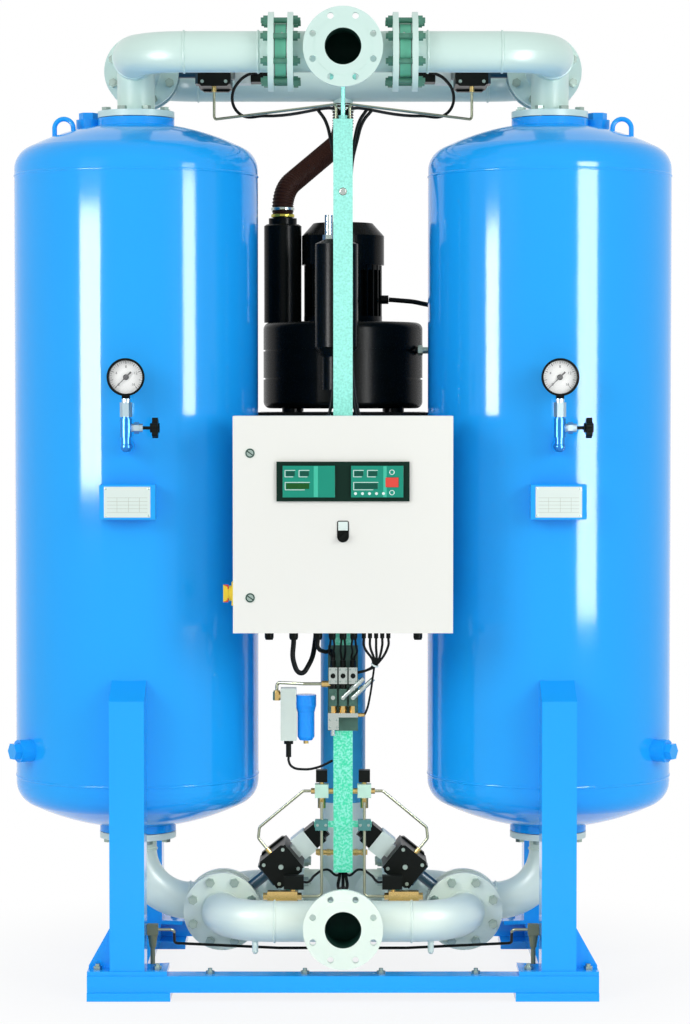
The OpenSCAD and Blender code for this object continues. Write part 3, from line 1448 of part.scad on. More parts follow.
module gauge_valve() {
  drop = gauge_z - tap_z;
  rise = gauge_valve_z - tap_z;
  difference() {
    union() {
      along_y() cylinder(d = 22, h = gauge_out - 22.1);
      along_y() translate([0, 0, 30]) cylinder(d = 32, h = 16, $fn = 6);
      sphere(d = 30);
      cylinder(d = 26, h = rise);
      translate([0, 0, rise - 26]) cylinder(d = 32, h = 52);
      translate([0, 0, rise]) cylinder(d = 24, h = drop - rise - gauge_d / 2 - 9.1);
      translate([0, 0, rise + 30]) cylinder(d = 34, h = 40, $fn = 6);
      translate([0, 0, rise]) along_x() cylinder(d = 24, h = 46);
      translate([22, 0, rise]) along_x() cylinder(d = 32, h = 14, $fn = 6);
    }
    translate([20, 0, rise]) along_x() cylinder(d = 9 + 2 * run_gap, h = 40);
  }
}

module gauge_valves() {
  color(steel)
    for (x = [-1, 1])
      translate([x * vessel_x, gauge_y, tap_z]) gauge_valve();
}

module handwheel() {
  difference() {
    union() {
      translate([66, 0, 0]) along_x() cylinder(d = 26, h = 26);
      translate([72, 0, 0])
        along_x()
          linear_extrude(16) {
            circle(d = wheel_d - 10);
            for (i = [0:5]) rotate(i * 60 + 15) translate([wheel_d / 2 - 8, 0]) circle(d = 16);
          }
      translate([22, 0, 0]) along_x() cylinder(d = 9, h = 60);
    }
    translate([86, 0, 0]) along_x() cylinder(d = 14, h = 10);
  }
}

module left_handwheel() { color(dark) translate([-vessel_x, gauge_y, gauge_valve_z]) handwheel(); }

module right_handwheel() { color(dark) translate([vessel_x, gauge_y, gauge_valve_z]) handwheel(); }

base_frame();
support_legs();
left_vessel();
right_vessel();
desiccant_beds();
lifting_eyes();
port_plugs();
flange_gaskets();
flange_bolts();
outlet_manifold();
check_valves();
left_outlet_flap();
right_outlet_flap();
left_regen_flap();
right_regen_flap();
left_top_spool();
right_top_spool();
upper_regen_manifold();
inlet_manifold();
left_bottom_spool();
right_bottom_spool();
lower_regen_manifold();
butterfly_valves();
valve_actuators();
left_inlet_disc();
right_inlet_disc();
left_exhaust_disc();
right_exhaust_disc();
heater_tube();
blower_stand();
blower_housing();
blower_motor();
fan_cowl();
blower_rotor();
blower_silencers();
hot_air_hose();
centre_post();
pilot_filter();
pilot_manifold();
pilot_valves();
pilot_tubes();
control_cables();
cabinet_box();
cabinet_door();
control_gear();
display_panel();
stop_key();
selector_knob();
upper_lock();
lower_lock();
main_switch_plate();
main_switch_handle();
cable_glands();
gauge_cases();
gauge_lenses();
left_needle();
right_needle();
gauge_valves();
left_handwheel();
right_handwheel();
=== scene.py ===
import math

import bpy
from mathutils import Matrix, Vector


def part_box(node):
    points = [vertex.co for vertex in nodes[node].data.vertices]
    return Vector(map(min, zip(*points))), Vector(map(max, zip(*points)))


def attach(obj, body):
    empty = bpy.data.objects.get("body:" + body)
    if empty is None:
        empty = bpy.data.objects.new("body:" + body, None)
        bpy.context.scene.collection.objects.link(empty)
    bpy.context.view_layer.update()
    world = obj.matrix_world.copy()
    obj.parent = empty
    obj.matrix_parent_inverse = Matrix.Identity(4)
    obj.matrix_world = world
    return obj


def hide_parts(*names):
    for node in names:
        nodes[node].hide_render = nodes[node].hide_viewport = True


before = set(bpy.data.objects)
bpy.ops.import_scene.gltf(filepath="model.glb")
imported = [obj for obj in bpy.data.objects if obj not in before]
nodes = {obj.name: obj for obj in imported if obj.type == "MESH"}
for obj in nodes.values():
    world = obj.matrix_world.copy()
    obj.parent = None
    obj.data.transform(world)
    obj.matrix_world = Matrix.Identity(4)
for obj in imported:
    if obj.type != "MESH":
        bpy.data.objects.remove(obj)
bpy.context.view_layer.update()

scene = bpy.context.scene
scene.view_settings.view_transform = "Standard"

# Camera: a long lens standing well back at the height of the cabinet top,
# tipped down a little, so the two towers stay upright in the picture.
def lone():
    """Nothing stays selected, so the next step acts on its own piece alone."""
    bpy.ops.object.select_all(action="DESELECT")


lone()
eye = Vector((0.0, -8.67, 1.659))
bpy.ops.object.camera_add(location=eye)
camera = bpy.context.object
camera.name = "studio_camera"
camera.data.sensor_width = 36.0
camera.data.lens = 105.47
camera.data.clip_end = 60.0
aim = Vector((0.0058, 0.0, 1.3295))
camera.rotation_euler = (aim - eye).to_track_quat("-Z", "Y").to_euler()
scene.camera = camera

# Studio: a white room, a pale floor that keeps the soft shadow of the base,
# two strip boxes close by that draw the long upright streaks on the towers, two broad fills
# in front and two small ones that lift the pipes by the floor and the valves behind them.
room = bpy.data.worlds.new("white_room")
scene.world = room
room.use_nodes = True
room_nodes, room_links = room.node_tree.nodes, room.node_tree.links
room_glow = room_nodes["Background"]
room_glow.inputs["Color"].default_value = (1.0, 1.0, 1.0, 1.0)
room_path = room_nodes.new("ShaderNodeLightPath")


def seen_ray(tree_nodes, tree_links, path):
    """One where the camera, a reflection or a clear pane looks, else nought."""
    first = tree_nodes.new("ShaderNodeMath")
    first.operation = "MAXIMUM"
    tree_links.new(path.outputs["Is Camera Ray"], first.inputs[0])
    tree_links.new(path.outputs["Is Glossy Ray"], first.inputs[1])
    second = tree_nodes.new("ShaderNodeMath")
    second.operation = "MAXIMUM"
    tree_links.new(first.outputs[0], second.inputs[0])
    tree_links.new(path.outputs["Is Transmission Ray"], second.inputs[1])
    return second.outputs[0]


room_level = room_nodes.new("ShaderNodeMapRange")
room_level.inputs["To Min"].default_value = 0.60
room_level.inputs["To Max"].default_value = 1.0
room_links.new(seen_ray(room_nodes, room_links, room_path), room_level.inputs["Value"])
room_links.new(room_level.outputs["Result"], room_glow.inputs["Strength"])

lone()
bpy.ops.mesh.primitive_plane_add(size=40.0, location=(0.0, 6.0, -0.001))
floor = bpy.context.object
floor.name = "studio_floor"
bpy.ops.object.transform_apply()
floor_white = bpy.data.materials.new("floor_white")
floor_white.use_nodes = True
floor_nodes, floor_links = floor_white.node_tree.nodes, floor_white.node_tree.links
floor_nodes.remove(floor_nodes["Principled BSDF"])
floor_body = floor_nodes.new("ShaderNodeBsdfDiffuse")
floor_body.inputs["Color"].default_value = (0.88, 0.90, 0.92, 1.0)
floor_glow = floor_nodes.new("ShaderNodeEmission")
floor_place = floor_nodes.new("ShaderNodeTexCoord")
floor_reach = floor_nodes.new("ShaderNodeVectorMath")
floor_reach.operation = "LENGTH"
floor_links.new(floor_place.outputs["Object"], floor_reach.inputs[0])
floor_fade = floor_nodes.new("ShaderNodeMapRange")
floor_fade.interpolation_type = "SMOOTHSTEP"
floor_fade.inputs["From Min"].default_value = 0.7
floor_fade.inputs["From Max"].default_value = 1.6
floor_fade.inputs["To Min"].default_value = 0.86
floor_links.new(floor_reach.outputs["Value"], floor_fade.inputs["Value"])
floor_gate = floor_nodes.new("ShaderNodeMath")
floor_gate.operation = "MULTIPLY"
floor_path = floor_nodes.new("ShaderNodeLightPath")
floor_links.new(floor_fade.outputs["Result"], floor_gate.inputs[0])
floor_links.new(seen_ray(floor_nodes, floor_links, floor_path), floor_gate.inputs[1])
floor_mix = floor_nodes.new("ShaderNodeMixShader")
floor_links.new(floor_gate.outputs[0], floor_mix.inputs["Fac"])
floor_links.new(floor_body.outputs[0], floor_mix.inputs[1])
floor_links.new(floor_glow.outputs[0], floor_mix.inputs[2])
floor_links.new(floor_mix.outputs[0], floor_nodes["Material Output"].inputs["Surface"])
floor.data.materials.append(floor_white)

soft_boxes = {"left_strip_box": ((-1.79, -1.63, 1.826), (-0.68, -0.30, 1.80), (0.66, 0.95), 76.0),
              "right_strip_box": ((1.53, -1.70, 1.70), (0.66, -0.32, 1.70), (0.585, 1.55), 88.0),
              "left_fill": ((-4.5, -5.3, 3.7), (0.0, 0.0, 1.2), (3.0, 3.0), 140.0),
              "right_fill": ((4.5, -5.3, 3.2), (0.0, 0.0, 1.2), (3.0, 3.0), 140.0),
              "low_fill": ((0.0, -1.85, 0.12), (0.0, -0.40, 0.19), (2.7, 0.16), 0.8),
              "centre_fill": ((0.0, -2.5, 0.95), (0.0, 0.10, 0.34), (0.5, 0.3), 0.25)}
narrow_beams = {"low_fill": 80.0, "centre_fill": 32.0}
for box_name, (place, toward, spread, power) in soft_boxes.items():
    lone()
    bpy.ops.object.light_add(type="AREA", location=place)
    lamp = bpy.context.object
    lamp.name = box_name
    lamp.data.shape = "RECTANGLE"
    lamp.data.size, lamp.data.size_y = spread
    lamp.data.energy = power
    lamp.data.spread = math.radians(narrow_beams.get(box_name, 180.0))
    lamp.rotation_euler = (Vector(toward) - Vector(place)).to_track_quat("-Z", "Y").to_euler()
    lamp.visible_camera = False
    lamp.visible_diffuse = box_name.endswith("fill")
    lamp.visible_glossy = not lamp.visible_diffuse

# Blue steelwork: base, legs, towers, eyes and plugs are welded steel under one gloss azure
# enamel, sprayed on and left with a faint orange peel; the heater tube has a darker, greyer copy of it: painted
# shade.
mottle = bpy.data.node_groups.new("mottle", "ShaderNodeTree")
for socket in ("Grain size", "Cloud size"):
    mottle.interface.new_socket(name=socket, in_out="INPUT", socket_type="NodeSocketFloat")
for socket in ("Grain", "Cloud"):
    mottle.interface.new_socket(name=socket, in_out="OUTPUT", socket_type="NodeSocketFloat")
mottle_in = mottle.nodes.new("NodeGroupInput")
mottle_out = mottle.nodes.new("NodeGroupOutput")
mottle_place = mottle.nodes.new("ShaderNodeTexCoord")
for socket, detail in (("Grain", 3.0), ("Cloud", 5.0)):
    noise = mottle.nodes.new("ShaderNodeTexNoise")
    noise.inputs["Detail"].default_value = detail
    mottle.links.new(mottle_place.outputs["Object"], noise.inputs["Vector"])
    mottle.links.new(mottle_in.outputs[socket + " size"], noise.inputs["Scale"])
    mottle.links.new(noise.outputs["Fac"], mottle_out.inputs[socket])


def finish(name, colour, rough, grain=400.0, cloud=3.0, tone=0.06, bump=0.05, metal=0.0, swing=0.08, coat=0.0,
           specular=0.5):
    """A coat or bare metal whose tone drifts in clouds and whose gloss breaks up in a fine grain."""
    made = bpy.data.materials.new(name)
    made.use_nodes = True
    tree, links = made.node_tree.nodes, made.node_tree.links
    shader = tree["Principled BSDF"]
    shader.inputs["Metallic"].default_value = metal
    shader.inputs["Coat Weight"].default_value = coat
    shader.inputs["Coat Roughness"].default_value = 0.04
    shader.inputs["Specular IOR Level"].default_value = specular
    skin = tree.new("ShaderNodeGroup")
    skin.node_tree = mottle
    skin.inputs["Grain size"].default_value = grain
    skin.inputs["Cloud size"].default_value = cloud
    drift = tree.new("ShaderNodeMix")
    drift.data_type = "RGBA"
    drift.inputs["A"].default_value = [min(1.0, c * (1.0 - tone)) for c in colour] + [1.0]
    drift.inputs["B"].default_value = [min(1.0, c * (1.0 + tone)) for c in colour] + [1.0]
    links.new(skin.outputs["Cloud"], drift.inputs["Factor"])
    links.new(drift.outputs["Result"], shader.inputs["Base Color"])
    gloss = tree.new("ShaderNodeMapRange")
    gloss.inputs["To Min"].default_value = max(0.02, rough - swing)
    gloss.inputs["To Max"].default_value = rough + swing
    links.new(skin.outputs["Grain"], gloss.inputs["Value"])
    links.new(gloss.outputs["Result"], shader.inputs["Roughness"])
    relief = tree.new("ShaderNodeBump")
    relief.inputs["Strength"].default_value = bump
    relief.inputs["Distance"].default_value = 0.001
    links.new(skin.outputs["Grain"], relief.inputs["Height"])
    links.new(relief.outputs["Normal"], shader.inputs["Normal"])
    return made


def dress(material, *names):
    """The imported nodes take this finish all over."""
    for name in names:
        nodes[name].data.materials.clear()
        nodes[name].data.materials.append(material)


def tint(piece, material, test):
    """The faces of a piece whose middle passes the test take a second finish."""
    mesh = piece.data
    mesh.materials.append(material)
    for face in mesh.polygons:
        if test(face.center):
            face.material_index = len(mesh.materials) - 1


azure_enamel = finish("azure_enamel", (0.012, 0.39, 0.98), 0.11, grain=260.0, cloud=2.2, tone=0.02, bump=0.03,
                      swing=0.035, specular=0.26)
dress(azure_enamel, "base_frame", "support_legs", "left_vessel", "right_vessel", "lifting_eyes", "port_plugs")
# The heater tube behind the post is coloured darker and greyer than the enamel: painted shade.
heater_painted_shade = finish("heater_painted_shade", (0.045, 0.34, 0.58), 0.24, grain=260.0, cloud=9.0, tone=0.16, bump=0.05,
                       swing=0.06, specular=0.3)
dress(heater_painted_shade, "heater_tube")
bead_filling = finish("bead_filling", (0.72, 0.68, 0.58), 0.8, grain=900.0, cloud=40.0, tone=0.2, bump=0.4)
dress(bead_filling, "desiccant_beds")

# Pipework: seamless tube, bends and flanges welded up and painted light grey,
# with a sawn fibre ring in each joint and plated studs and nuts through it.
pipe_enamel = finish("pipe_enamel", (0.61, 0.80, 0.74), 0.34, grain=300.0, cloud=4.0, tone=0.05, bump=0.06)
dress(pipe_enamel, "outlet_manifold", "left_top_spool", "right_top_spool", "upper_regen_manifold")
# The pipes low down take a paler, greener copy of the same enamel: painted light, lifting them out of the shade under
# the towers.
low_pipe_painted_light = finish("low_pipe_painted_light", (0.74, 0.85, 0.75), 0.34, grain=300.0, cloud=4.0, tone=0.05, bump=0.06)
dress(low_pipe_painted_light, "inlet_manifold", "left_bottom_spool", "right_bottom_spool", "lower_regen_manifold")
# Inside the tee mouths and runs the pipe takes a near-black finish: painted shade in the bores.
bore_shade = finish("bore_shade", (0.012, 0.060, 0.045), 0.6, grain=300.0, cloud=25.0, tone=0.35, bump=0.12,
                    specular=0.15)
top_z, low_z, outlet_y, inlet_y = 2.62264, 0.20036, -0.270, -0.352
tee_half, mouth_r, run_r = 0.17, 0.0508, 0.0545
for name, run_y, run_z in (("outlet_manifold", outlet_y, top_z), ("inlet_manifold", inlet_y, low_z)):
    tint(nodes[name], bore_shade,
         lambda c: abs(c.x) < tee_half and (math.hypot(c.x, c.z - run_z) < mouth_r and c.y < run_y
                                            or math.hypot(c.y - run_y, c.z - run_z) < run_r))
gasket_fibre = finish("gasket_fibre", (0.03, 0.035, 0.035), 0.8, grain=700.0, bump=0.2)
dress(gasket_fibre, "flange_gaskets")
plated_steel = finish("plated_steel", (0.34, 0.44, 0.40), 0.3, grain=900.0, cloud=30.0, tone=0.14, bump=0.05,
                      metal=1.0)
dress(plated_steel, "flange_bolts", "upper_lock", "lower_lock")
# The studs and nuts of the top flanges take a dark green copy of the plating: painted shade.
top_stud_shade = finish("top_stud_shade", (0.075, 0.24, 0.17), 0.36, grain=900.0, cloud=30.0, tone=0.2, bump=0.05,
                    specular=0.4)
tint(nodes["flange_bolts"], top_stud_shade, lambda c: c.z > 2.4 and abs(c.x) < 0.30)


def pick(piece):
    """Only this piece is selected and active."""
    lone()
    piece.select_set(True)
    bpy.context.view_layer.objects.active = piece


def fit(piece, name, material, body):
    """Puts the place of a new piece into its mesh, names it, and fixes it to its body."""
    pick(piece)
    bpy.ops.object.transform_apply()
    piece.name = name
    piece.data.name = name
    piece.data.materials.clear()
    piece.data.materials.append(material)
    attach(piece, body)
    return piece


def join(pieces):
    """The pieces become one, with the first one's name."""
    lone()
    for piece in pieces:
        piece.select_set(True)
    bpy.context.view_layer.objects.active = pieces[0]
    bpy.ops.object.join()
    return bpy.context.object


# Weld beads: a hand-run ripple of weld round every bend and flange neck,
# ground a little and painted with the pipe.
tower_x, low_valve_x, bend_x, rear_y = 0.595, 0.343, 0.443, 0.558
pipe_r, nozzle_r = 0.05715, 0.054
across, along, upright = (0.0, math.pi / 2, 0.0), (math.pi / 2, 0.0, 0.0), (0.0, 0.0, 0.0)
left_welds = [((-bend_x, outlet_y, top_z), across, pipe_r), ((-0.236, outlet_y, top_z), across, pipe_r),
              ((-tower_x, -0.118, top_z), along, pipe_r), ((-tower_x, 0.229, top_z), along, pipe_r),
              ((-tower_x, 0.0, 2.4825), upright, nozzle_r),
              ((-bend_x, rear_y, top_z), across, pipe_r), ((-tower_x, 0.406, top_z), along, pipe_r),
              ((-0.191, inlet_y, low_z), across, pipe_r), ((-low_valve_x, -0.200, low_z), along, pipe_r),
              ((-bend_x, 0.0, low_z), across, nozzle_r), ((-tower_x, 0.0, 0.3524), upright, nozzle_r),
              ((-tower_x, 0.0, 0.3855), upright, nozzle_r), ((-low_valve_x, 0.060, low_z), along, pipe_r)]


def ring(place, turn, radius, thickness, steps):
    """A round ring, ready to be shaped."""
    lone()
    bpy.ops.mesh.primitive_torus_add(location=place, rotation=turn, major_radius=radius, minor_radius=thickness,
                                     major_segments=steps, minor_segments=8)
    return bpy.context.object


ripple = bpy.data.textures.new("weld_ripple", "CLOUDS")
ripple.noise_scale = 0.006
beads = []
for place, turn, radius in left_welds + [((-p[0], p[1], p[2]), t, r) for p, t, r in left_welds]:
    bead = ring(place, turn, radius, 0.0034, 72)
    bpy.ops.object.transform_apply()
    wave = bead.modifiers.new("ripple", "DISPLACE")
    wave.texture = ripple
    wave.texture_coords = "LOCAL"
    wave.strength = 0.0022
    bpy.ops.object.modifier_apply(modifier="ripple")
    bpy.ops.object.shade_smooth()
    beads.append(bead)
# Beads below 1 m take the paler copy of the pipe enamel: painted light.
tint(fit(join(beads), "pipe_welds", pipe_enamel, "skid"), low_pipe_painted_light, lambda c: c.z < 1.0)

# Valves: cast wafer bodies, dark blue paint on the butterfly valves and green zinc on the check
# valves, polished discs and flaps inside, and black quarter-turn actuators with a pale bracket.
valve_enamel = finish("valve_enamel", (0.016, 0.075, 0.115), 0.36, grain=220.0, cloud=8.0, tone=0.12, bump=0.12)
dress(valve_enamel, "butterfly_valves")
wafer_zinc = finish("wafer_zinc", (0.17, 0.58, 0.41), 0.38, cloud=25.0, tone=0.2, bump=0.08, specular=0.35)
dress(wafer_zinc, "check_valves")
stainless = finish("stainless", (0.46, 0.52, 0.49), 0.26, grain=600.0, cloud=12.0, tone=0.06, bump=0.03, metal=1.0)
dress(stainless, "left_outlet_flap", "right_outlet_flap", "left_regen_flap", "right_regen_flap", "left_inlet_disc",
      "right_inlet_disc", "left_exhaust_disc", "right_exhaust_disc", "pilot_tubes", "pilot_manifold")
black_moulding = finish("black_moulding", (0.004, 0.006, 0.005), 0.36, grain=500.0, cloud=10.0, tone=0.2, bump=0.08,
                        specular=0.10)
pale_moulding = finish("pale_moulding", (0.70, 0.80, 0.76), 0.42, grain=500.0, cloud=9.0, tone=0.05, bump=0.04)
dress(black_moulding, "valve_actuators")
stem_tilt = math.radians(51.0)
bracket_from, bracket_to = 0.2642, 0.3222
inlet_valve_y, exhaust_valve_y, cap_reach = -0.148, 0.276, 0.0955


def up_the_stem(point):
    """How far along its valve stem a point of an actuator lies."""
    if point.z > 1.0:
        return tower_x - abs(point.x)
    return (low_valve_x - abs(point.x)) * math.sin(stem_tilt) + (point.z - low_z) * math.cos(stem_tilt)


tint(nodes["valve_actuators"], pale_moulding, lambda c: bracket_from < up_the_stem(c) < bracket_to)
tint(nodes["valve_actuators"], plated_steel,
     lambda c: abs(c.y - (inlet_valve_y if c.z < 1.0 else exhaust_valve_y)) > cap_reach)

# Blower set: black enamelled drum, finned motor and silencers on a painted stand,
# with a cast rotor inside.
black_enamel = finish("black_enamel", (0.004, 0.0055, 0.005), 0.26, grain=240.0, cloud=6.0, tone=0.25, bump=0.08,
                      specular=0.07)
dress(black_enamel, "blower_stand", "blower_housing", "blower_motor", "fan_cowl", "blower_silencers", "gauge_cases")
cast_metal = finish("cast_metal", (0.66, 0.67, 0.68), 0.45, grain=350.0, cloud=20.0, bump=0.15, metal=1.0)
dress(cast_metal, "blower_rotor")
tint(nodes["blower_housing"], plated_steel,
     lambda c: c.x > 0.2205 and abs(c.y - 0.230) < 0.017 and abs(c.z - 1.800) < 0.017)
tint(nodes["blower_silencers"], stainless, lambda c: c.x > -0.060 and c.z > 2.118)

# Hot air hose: silicone over a wire helix, rust brown, ribbed all the way,
# pushed over the silencer neck and the stub of the rear pipe.
hose_silicone = finish("hose_silicone", (0.040, 0.013, 0.008), 0.5, grain=500.0, cloud=20.0, tone=0.2, bump=0.15,
                       specular=0.10)
dress(hose_silicone, "hot_air_hose")


def rounded_route(points, radius, steps):
    """The points of a route whose corners are rounded."""
    route = [Vector(points[0])]
    for before, corner, after in zip(points, points[1:], points[2:]):
        before, corner, after = Vector(before), Vector(corner), Vector(after)
        come, go = (corner - before).normalized(), (after - corner).normalized()
        turn = come.angle(go)
        cut = radius * math.tan(turn / 2)
        side = (go - come * come.dot(go)).normalized()
        hub = corner - come * cut + side * radius
        for k in range(steps + 1):
            step = turn * k / steps
            route.append(hub + radius * (math.sin(step) * come - math.cos(step) * side))
    route.append(Vector(points[-1]))
    return route


def evenly(route, count):
    """The same route in equal steps."""
    lengths = [0.0]
    for a, b in zip(route, route[1:]):
        lengths.append(lengths[-1] + (b - a).length)
    steps, k = [], 0
    for i in range(count + 1):
        goal = lengths[-1] * i / count
        while k < len(route) - 2 and lengths[k + 1] < goal:
            k += 1
        share = (goal - lengths[k]) / max(lengths[k + 1] - lengths[k], 1e-9)
        steps.append(route[k].lerp(route[k + 1], share))
    return steps


def thread(name, radius, sides):
    """An empty curve that will be this thick."""
    curve = bpy.data.curves.new(name, "CURVE")
    curve.dimensions = "3D"
    curve.bevel_depth = radius
    curve.bevel_resolution = sides
    curve.use_fill_caps = True
    return curve


def made_mesh(curve):
    """The curve as a smooth mesh."""
    line = bpy.data.objects.new(curve.name, curve)
    scene.collection.objects.link(line)
    pick(line)
    bpy.ops.object.convert(target="MESH")
    bpy.ops.object.shade_smooth()
    return bpy.context.object


def round_line(name, points, radius, swell=None, sides=6):
    """A round line along the points, thick or thin where swell says."""
    curve = thread(name, radius, sides)
    spline = curve.splines.new("POLY")
    spline.points.add(len(points) - 1)
    for i, point in enumerate(points):
        spline.points[i].co = (*point, 1.0)
        spline.points[i].radius = swell(i) if swell else 1.0
    return made_mesh(curve)


def rod(place, turn, radius, depth, sides):
    """A bar with this many sides, ready to be shaped."""
    lone()
    bpy.ops.mesh.primitive_cylinder_add(vertices=sides, radius=radius, depth=depth, location=place, rotation=turn)
    return bpy.context.object


def round_rim(piece, width, steps=1):
    """Takes the sharp edges off a piece."""
    rim = piece.modifiers.new("rim", "BEVEL")
    rim.width = width
    rim.segments = steps
    bpy.context.view_layer.objects.active = piece
    bpy.ops.object.modifier_apply(modifier="rim")


neck_x, neck_y = -0.180, 0.330
hose_route = evenly(rounded_route([(neck_x, neck_y, 2.1985), (neck_x, neck_y, 2.2793), (0.0, rear_y, 2.4497),
                                   (0.0, rear_y, 2.5585)], 0.089, 24), 420)
hose_rib = 7
hose = round_line("ribbed_hose", hose_route, 0.0315, lambda i: 0.94 + 0.10 * math.cos(math.pi * i / hose_rib) ** 2, 7)
fit(hose, "ribbed_hose", hose_silicone, "skid")
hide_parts("hot_air_hose")
clamp_brass = finish("clamp_brass", (0.62, 0.52, 0.07), 0.34, grain=700.0, cloud=40.0, tone=0.15, bump=0.04,
                     metal=0.6)
clamp_r = 0.0348
for place, height, material, name in (((neck_x, neck_y, 2.2030), 0.0085, clamp_brass, "hose_ring"),
                                      ((neck_x, neck_y, 2.2235), 0.0090, stainless, "lower_hose_clamp"),
                                      ((0.0, rear_y, 2.5400), 0.0090, stainless, "upper_hose_clamp")):
    band = rod(place, upright, clamp_r, height, 48)
    round_rim(band, 0.0012, 2)
    screw = rod((place[0], place[1] - clamp_r - 0.0024, place[2]), across, 0.0042, 0.017, 12)
    round_rim(screw, 0.0007)
    fit(join([band, screw]), name, material, "skid")

# Centre post: square tube, hot dip galvanised with a fine spangle,
# carrying the cabinet rails and two grey-green tube clamps.
galvanised = finish("galvanised", (0.28, 0.74, 0.62), 0.42, grain=160.0, cloud=170.0, tone=0.42, bump=0.04, metal=0.5,
                    swing=0.14)
# The zinc turns greener in spots towards the bottom of the post: painted shade and reflection, laid over the spangle.
post_shade_nodes, post_shade_links = galvanised.node_tree.nodes, galvanised.node_tree.links
post_shade_place = post_shade_nodes.new("ShaderNodeTexCoord")
post_shade_axes = post_shade_nodes.new("ShaderNodeSeparateXYZ")
post_shade_links.new(post_shade_place.outputs["Object"], post_shade_axes.inputs[0])
post_shade_low = post_shade_nodes.new("ShaderNodeMapRange")
post_shade_low.inputs["From Min"].default_value = 0.75
post_shade_low.inputs["From Max"].default_value = 1.75
post_shade_low.inputs["To Min"].default_value = 0.62
post_shade_low.inputs["To Max"].default_value = 0.0
post_shade_links.new(post_shade_axes.outputs["Z"], post_shade_low.inputs["Value"])
post_shade_mix = post_shade_nodes.new("ShaderNodeMix")
post_shade_mix.data_type = "RGBA"
post_shade_mix.inputs["B"].default_value = (0.02, 0.66, 0.34, 1.0)
post_shade_shader = post_shade_nodes["Principled BSDF"]
post_shade_links.new(post_shade_shader.inputs["Base Color"].links[0].from_socket, post_shade_mix.inputs["A"])
post_shade_spots = post_shade_nodes.new("ShaderNodeMapRange")
post_shade_spots.inputs["From Min"].default_value = 0.40
post_shade_spots.inputs["From Max"].default_value = 0.58
post_shade_spots.inputs["To Min"].default_value = 1.45
post_shade_spots.inputs["To Max"].default_value = 0.35
post_shade_links.new(post_shade_nodes["Group"].outputs["Cloud"], post_shade_spots.inputs["Value"])
post_shade_share = post_shade_nodes.new("ShaderNodeMath")
post_shade_share.operation = "MULTIPLY"
post_shade_links.new(post_shade_low.outputs["Result"], post_shade_share.inputs[0])
post_shade_links.new(post_shade_spots.outputs["Result"], post_shade_share.inputs[1])
post_shade_links.new(post_shade_share.outputs[0], post_shade_mix.inputs["Factor"])
post_shade_links.new(post_shade_mix.outputs["Result"], post_shade_shader.inputs["Base Color"])
dress(galvanised, "centre_post")
clamp_moulding = finish("clamp_moulding", (0.045, 0.20, 0.19), 0.42, bump=0.08)
tint(nodes["centre_post"], clamp_moulding, lambda c: abs(c.x) > 0.0415 and c.y < -0.2901 and c.z < 0.6)
block_green = finish("block_green", (0.055, 0.13, 0.10), 0.4, cloud=40.0, tone=0.3, bump=0.1, specular=0.2)
tint(nodes["centre_post"], block_green, lambda c: 0.7265 < c.z < 0.9675 and c.y < -0.2875)
rivet_nut = rod((0.0, -0.2872, 2.23364), along, 0.0108, 0.0030, 28)
bpy.ops.object.mode_set(mode="EDIT")
bpy.ops.mesh.select_all(action="DESELECT")
bpy.ops.object.mode_set(mode="OBJECT")
for face in rivet_nut.data.polygons:
    face.select = abs(face.normal.z) > 0.9
bpy.ops.object.mode_set(mode="EDIT")
bpy.ops.mesh.inset(thickness=0.004, depth=-0.0012, use_individual=True)
bpy.ops.object.mode_set(mode="OBJECT")
fit(rivet_nut, "post_rivet_nut", stainless, "skid")

# Pilot set: white filter head with a blue bowl, brass bodies and black coils,
# olive drain traps by the legs, steel tubes and black cables.
turned_brass = finish("turned_brass", (0.62, 0.44, 0.17), 0.28, grain=700.0, cloud=30.0, tone=0.12, bump=0.03,
                      metal=1.0)
bowl_blue = finish("bowl_blue", (0.012, 0.29, 0.92), 0.2, bump=0.03, specular=0.25)
trap_olive = finish("trap_olive", (0.16, 0.17, 0.09), 0.5, bump=0.1)
filter_grey = finish("filter_grey", (0.58, 0.67, 0.61), 0.36, cloud=15.0, tone=0.05, bump=0.05)
dress(filter_grey, "pilot_filter")
head_left, head_right, head_low = -0.1751, -0.1309, 0.6979
tint(nodes["pilot_filter"], bowl_blue, lambda c: c.x > head_right and c.z > head_low)
tint(nodes["pilot_filter"], turned_brass, lambda c: c.x < head_left or (c.x > head_right and c.z < head_low))
tint(nodes["pilot_filter"], black_moulding, lambda c: head_left < c.x < head_right and c.z < head_low)
dress(turned_brass, "pilot_valves")
valve_body_green = finish("valve_body_green", (0.46, 0.70, 0.57), 0.4, cloud=40.0, tone=0.1, specular=0.3)
tint(nodes["pilot_valves"], valve_body_green, lambda c: 0.535 < c.z < 0.5741 and 0.0405 < abs(c.x) < 0.0795)
tint(nodes["pilot_valves"], black_moulding,
     lambda c: 0.5795 < c.z < 0.70 or (0.2825 < c.z < 0.33 and 0.10 < abs(c.x) < 0.17))
tint(nodes["pilot_valves"], trap_olive, lambda c: c.z < 0.20 and abs(c.x) > 0.5)
dress(black_moulding, "cable_glands")
tint(nodes["pilot_manifold"], block_green,
     lambda c: 0.7985 < c.z < 0.8475 and c.y > -0.3175 and abs(c.x) < 0.0405)
tint(nodes["pilot_manifold"], black_moulding,
     lambda c: 0.8465 < c.z < 0.8615 and c.y > -0.3145 and abs(c.x) < 0.0385
     or c.y < -0.3235 and 0.876 < c.z < 0.892 or c.z > 0.9075)
tint(nodes["pilot_manifold"], turned_brass,
     lambda c: 0.7775 < c.z < 0.7995 and abs(c.x) < 0.0405 or c.x > 0.0425 and c.z < 0.785 or c.x < -0.0425)
clamp_screws = [(side * (0.060 + off), -0.3148, 0.464) for side in (1, -1) for off in (-0.0115, 0.0115)]
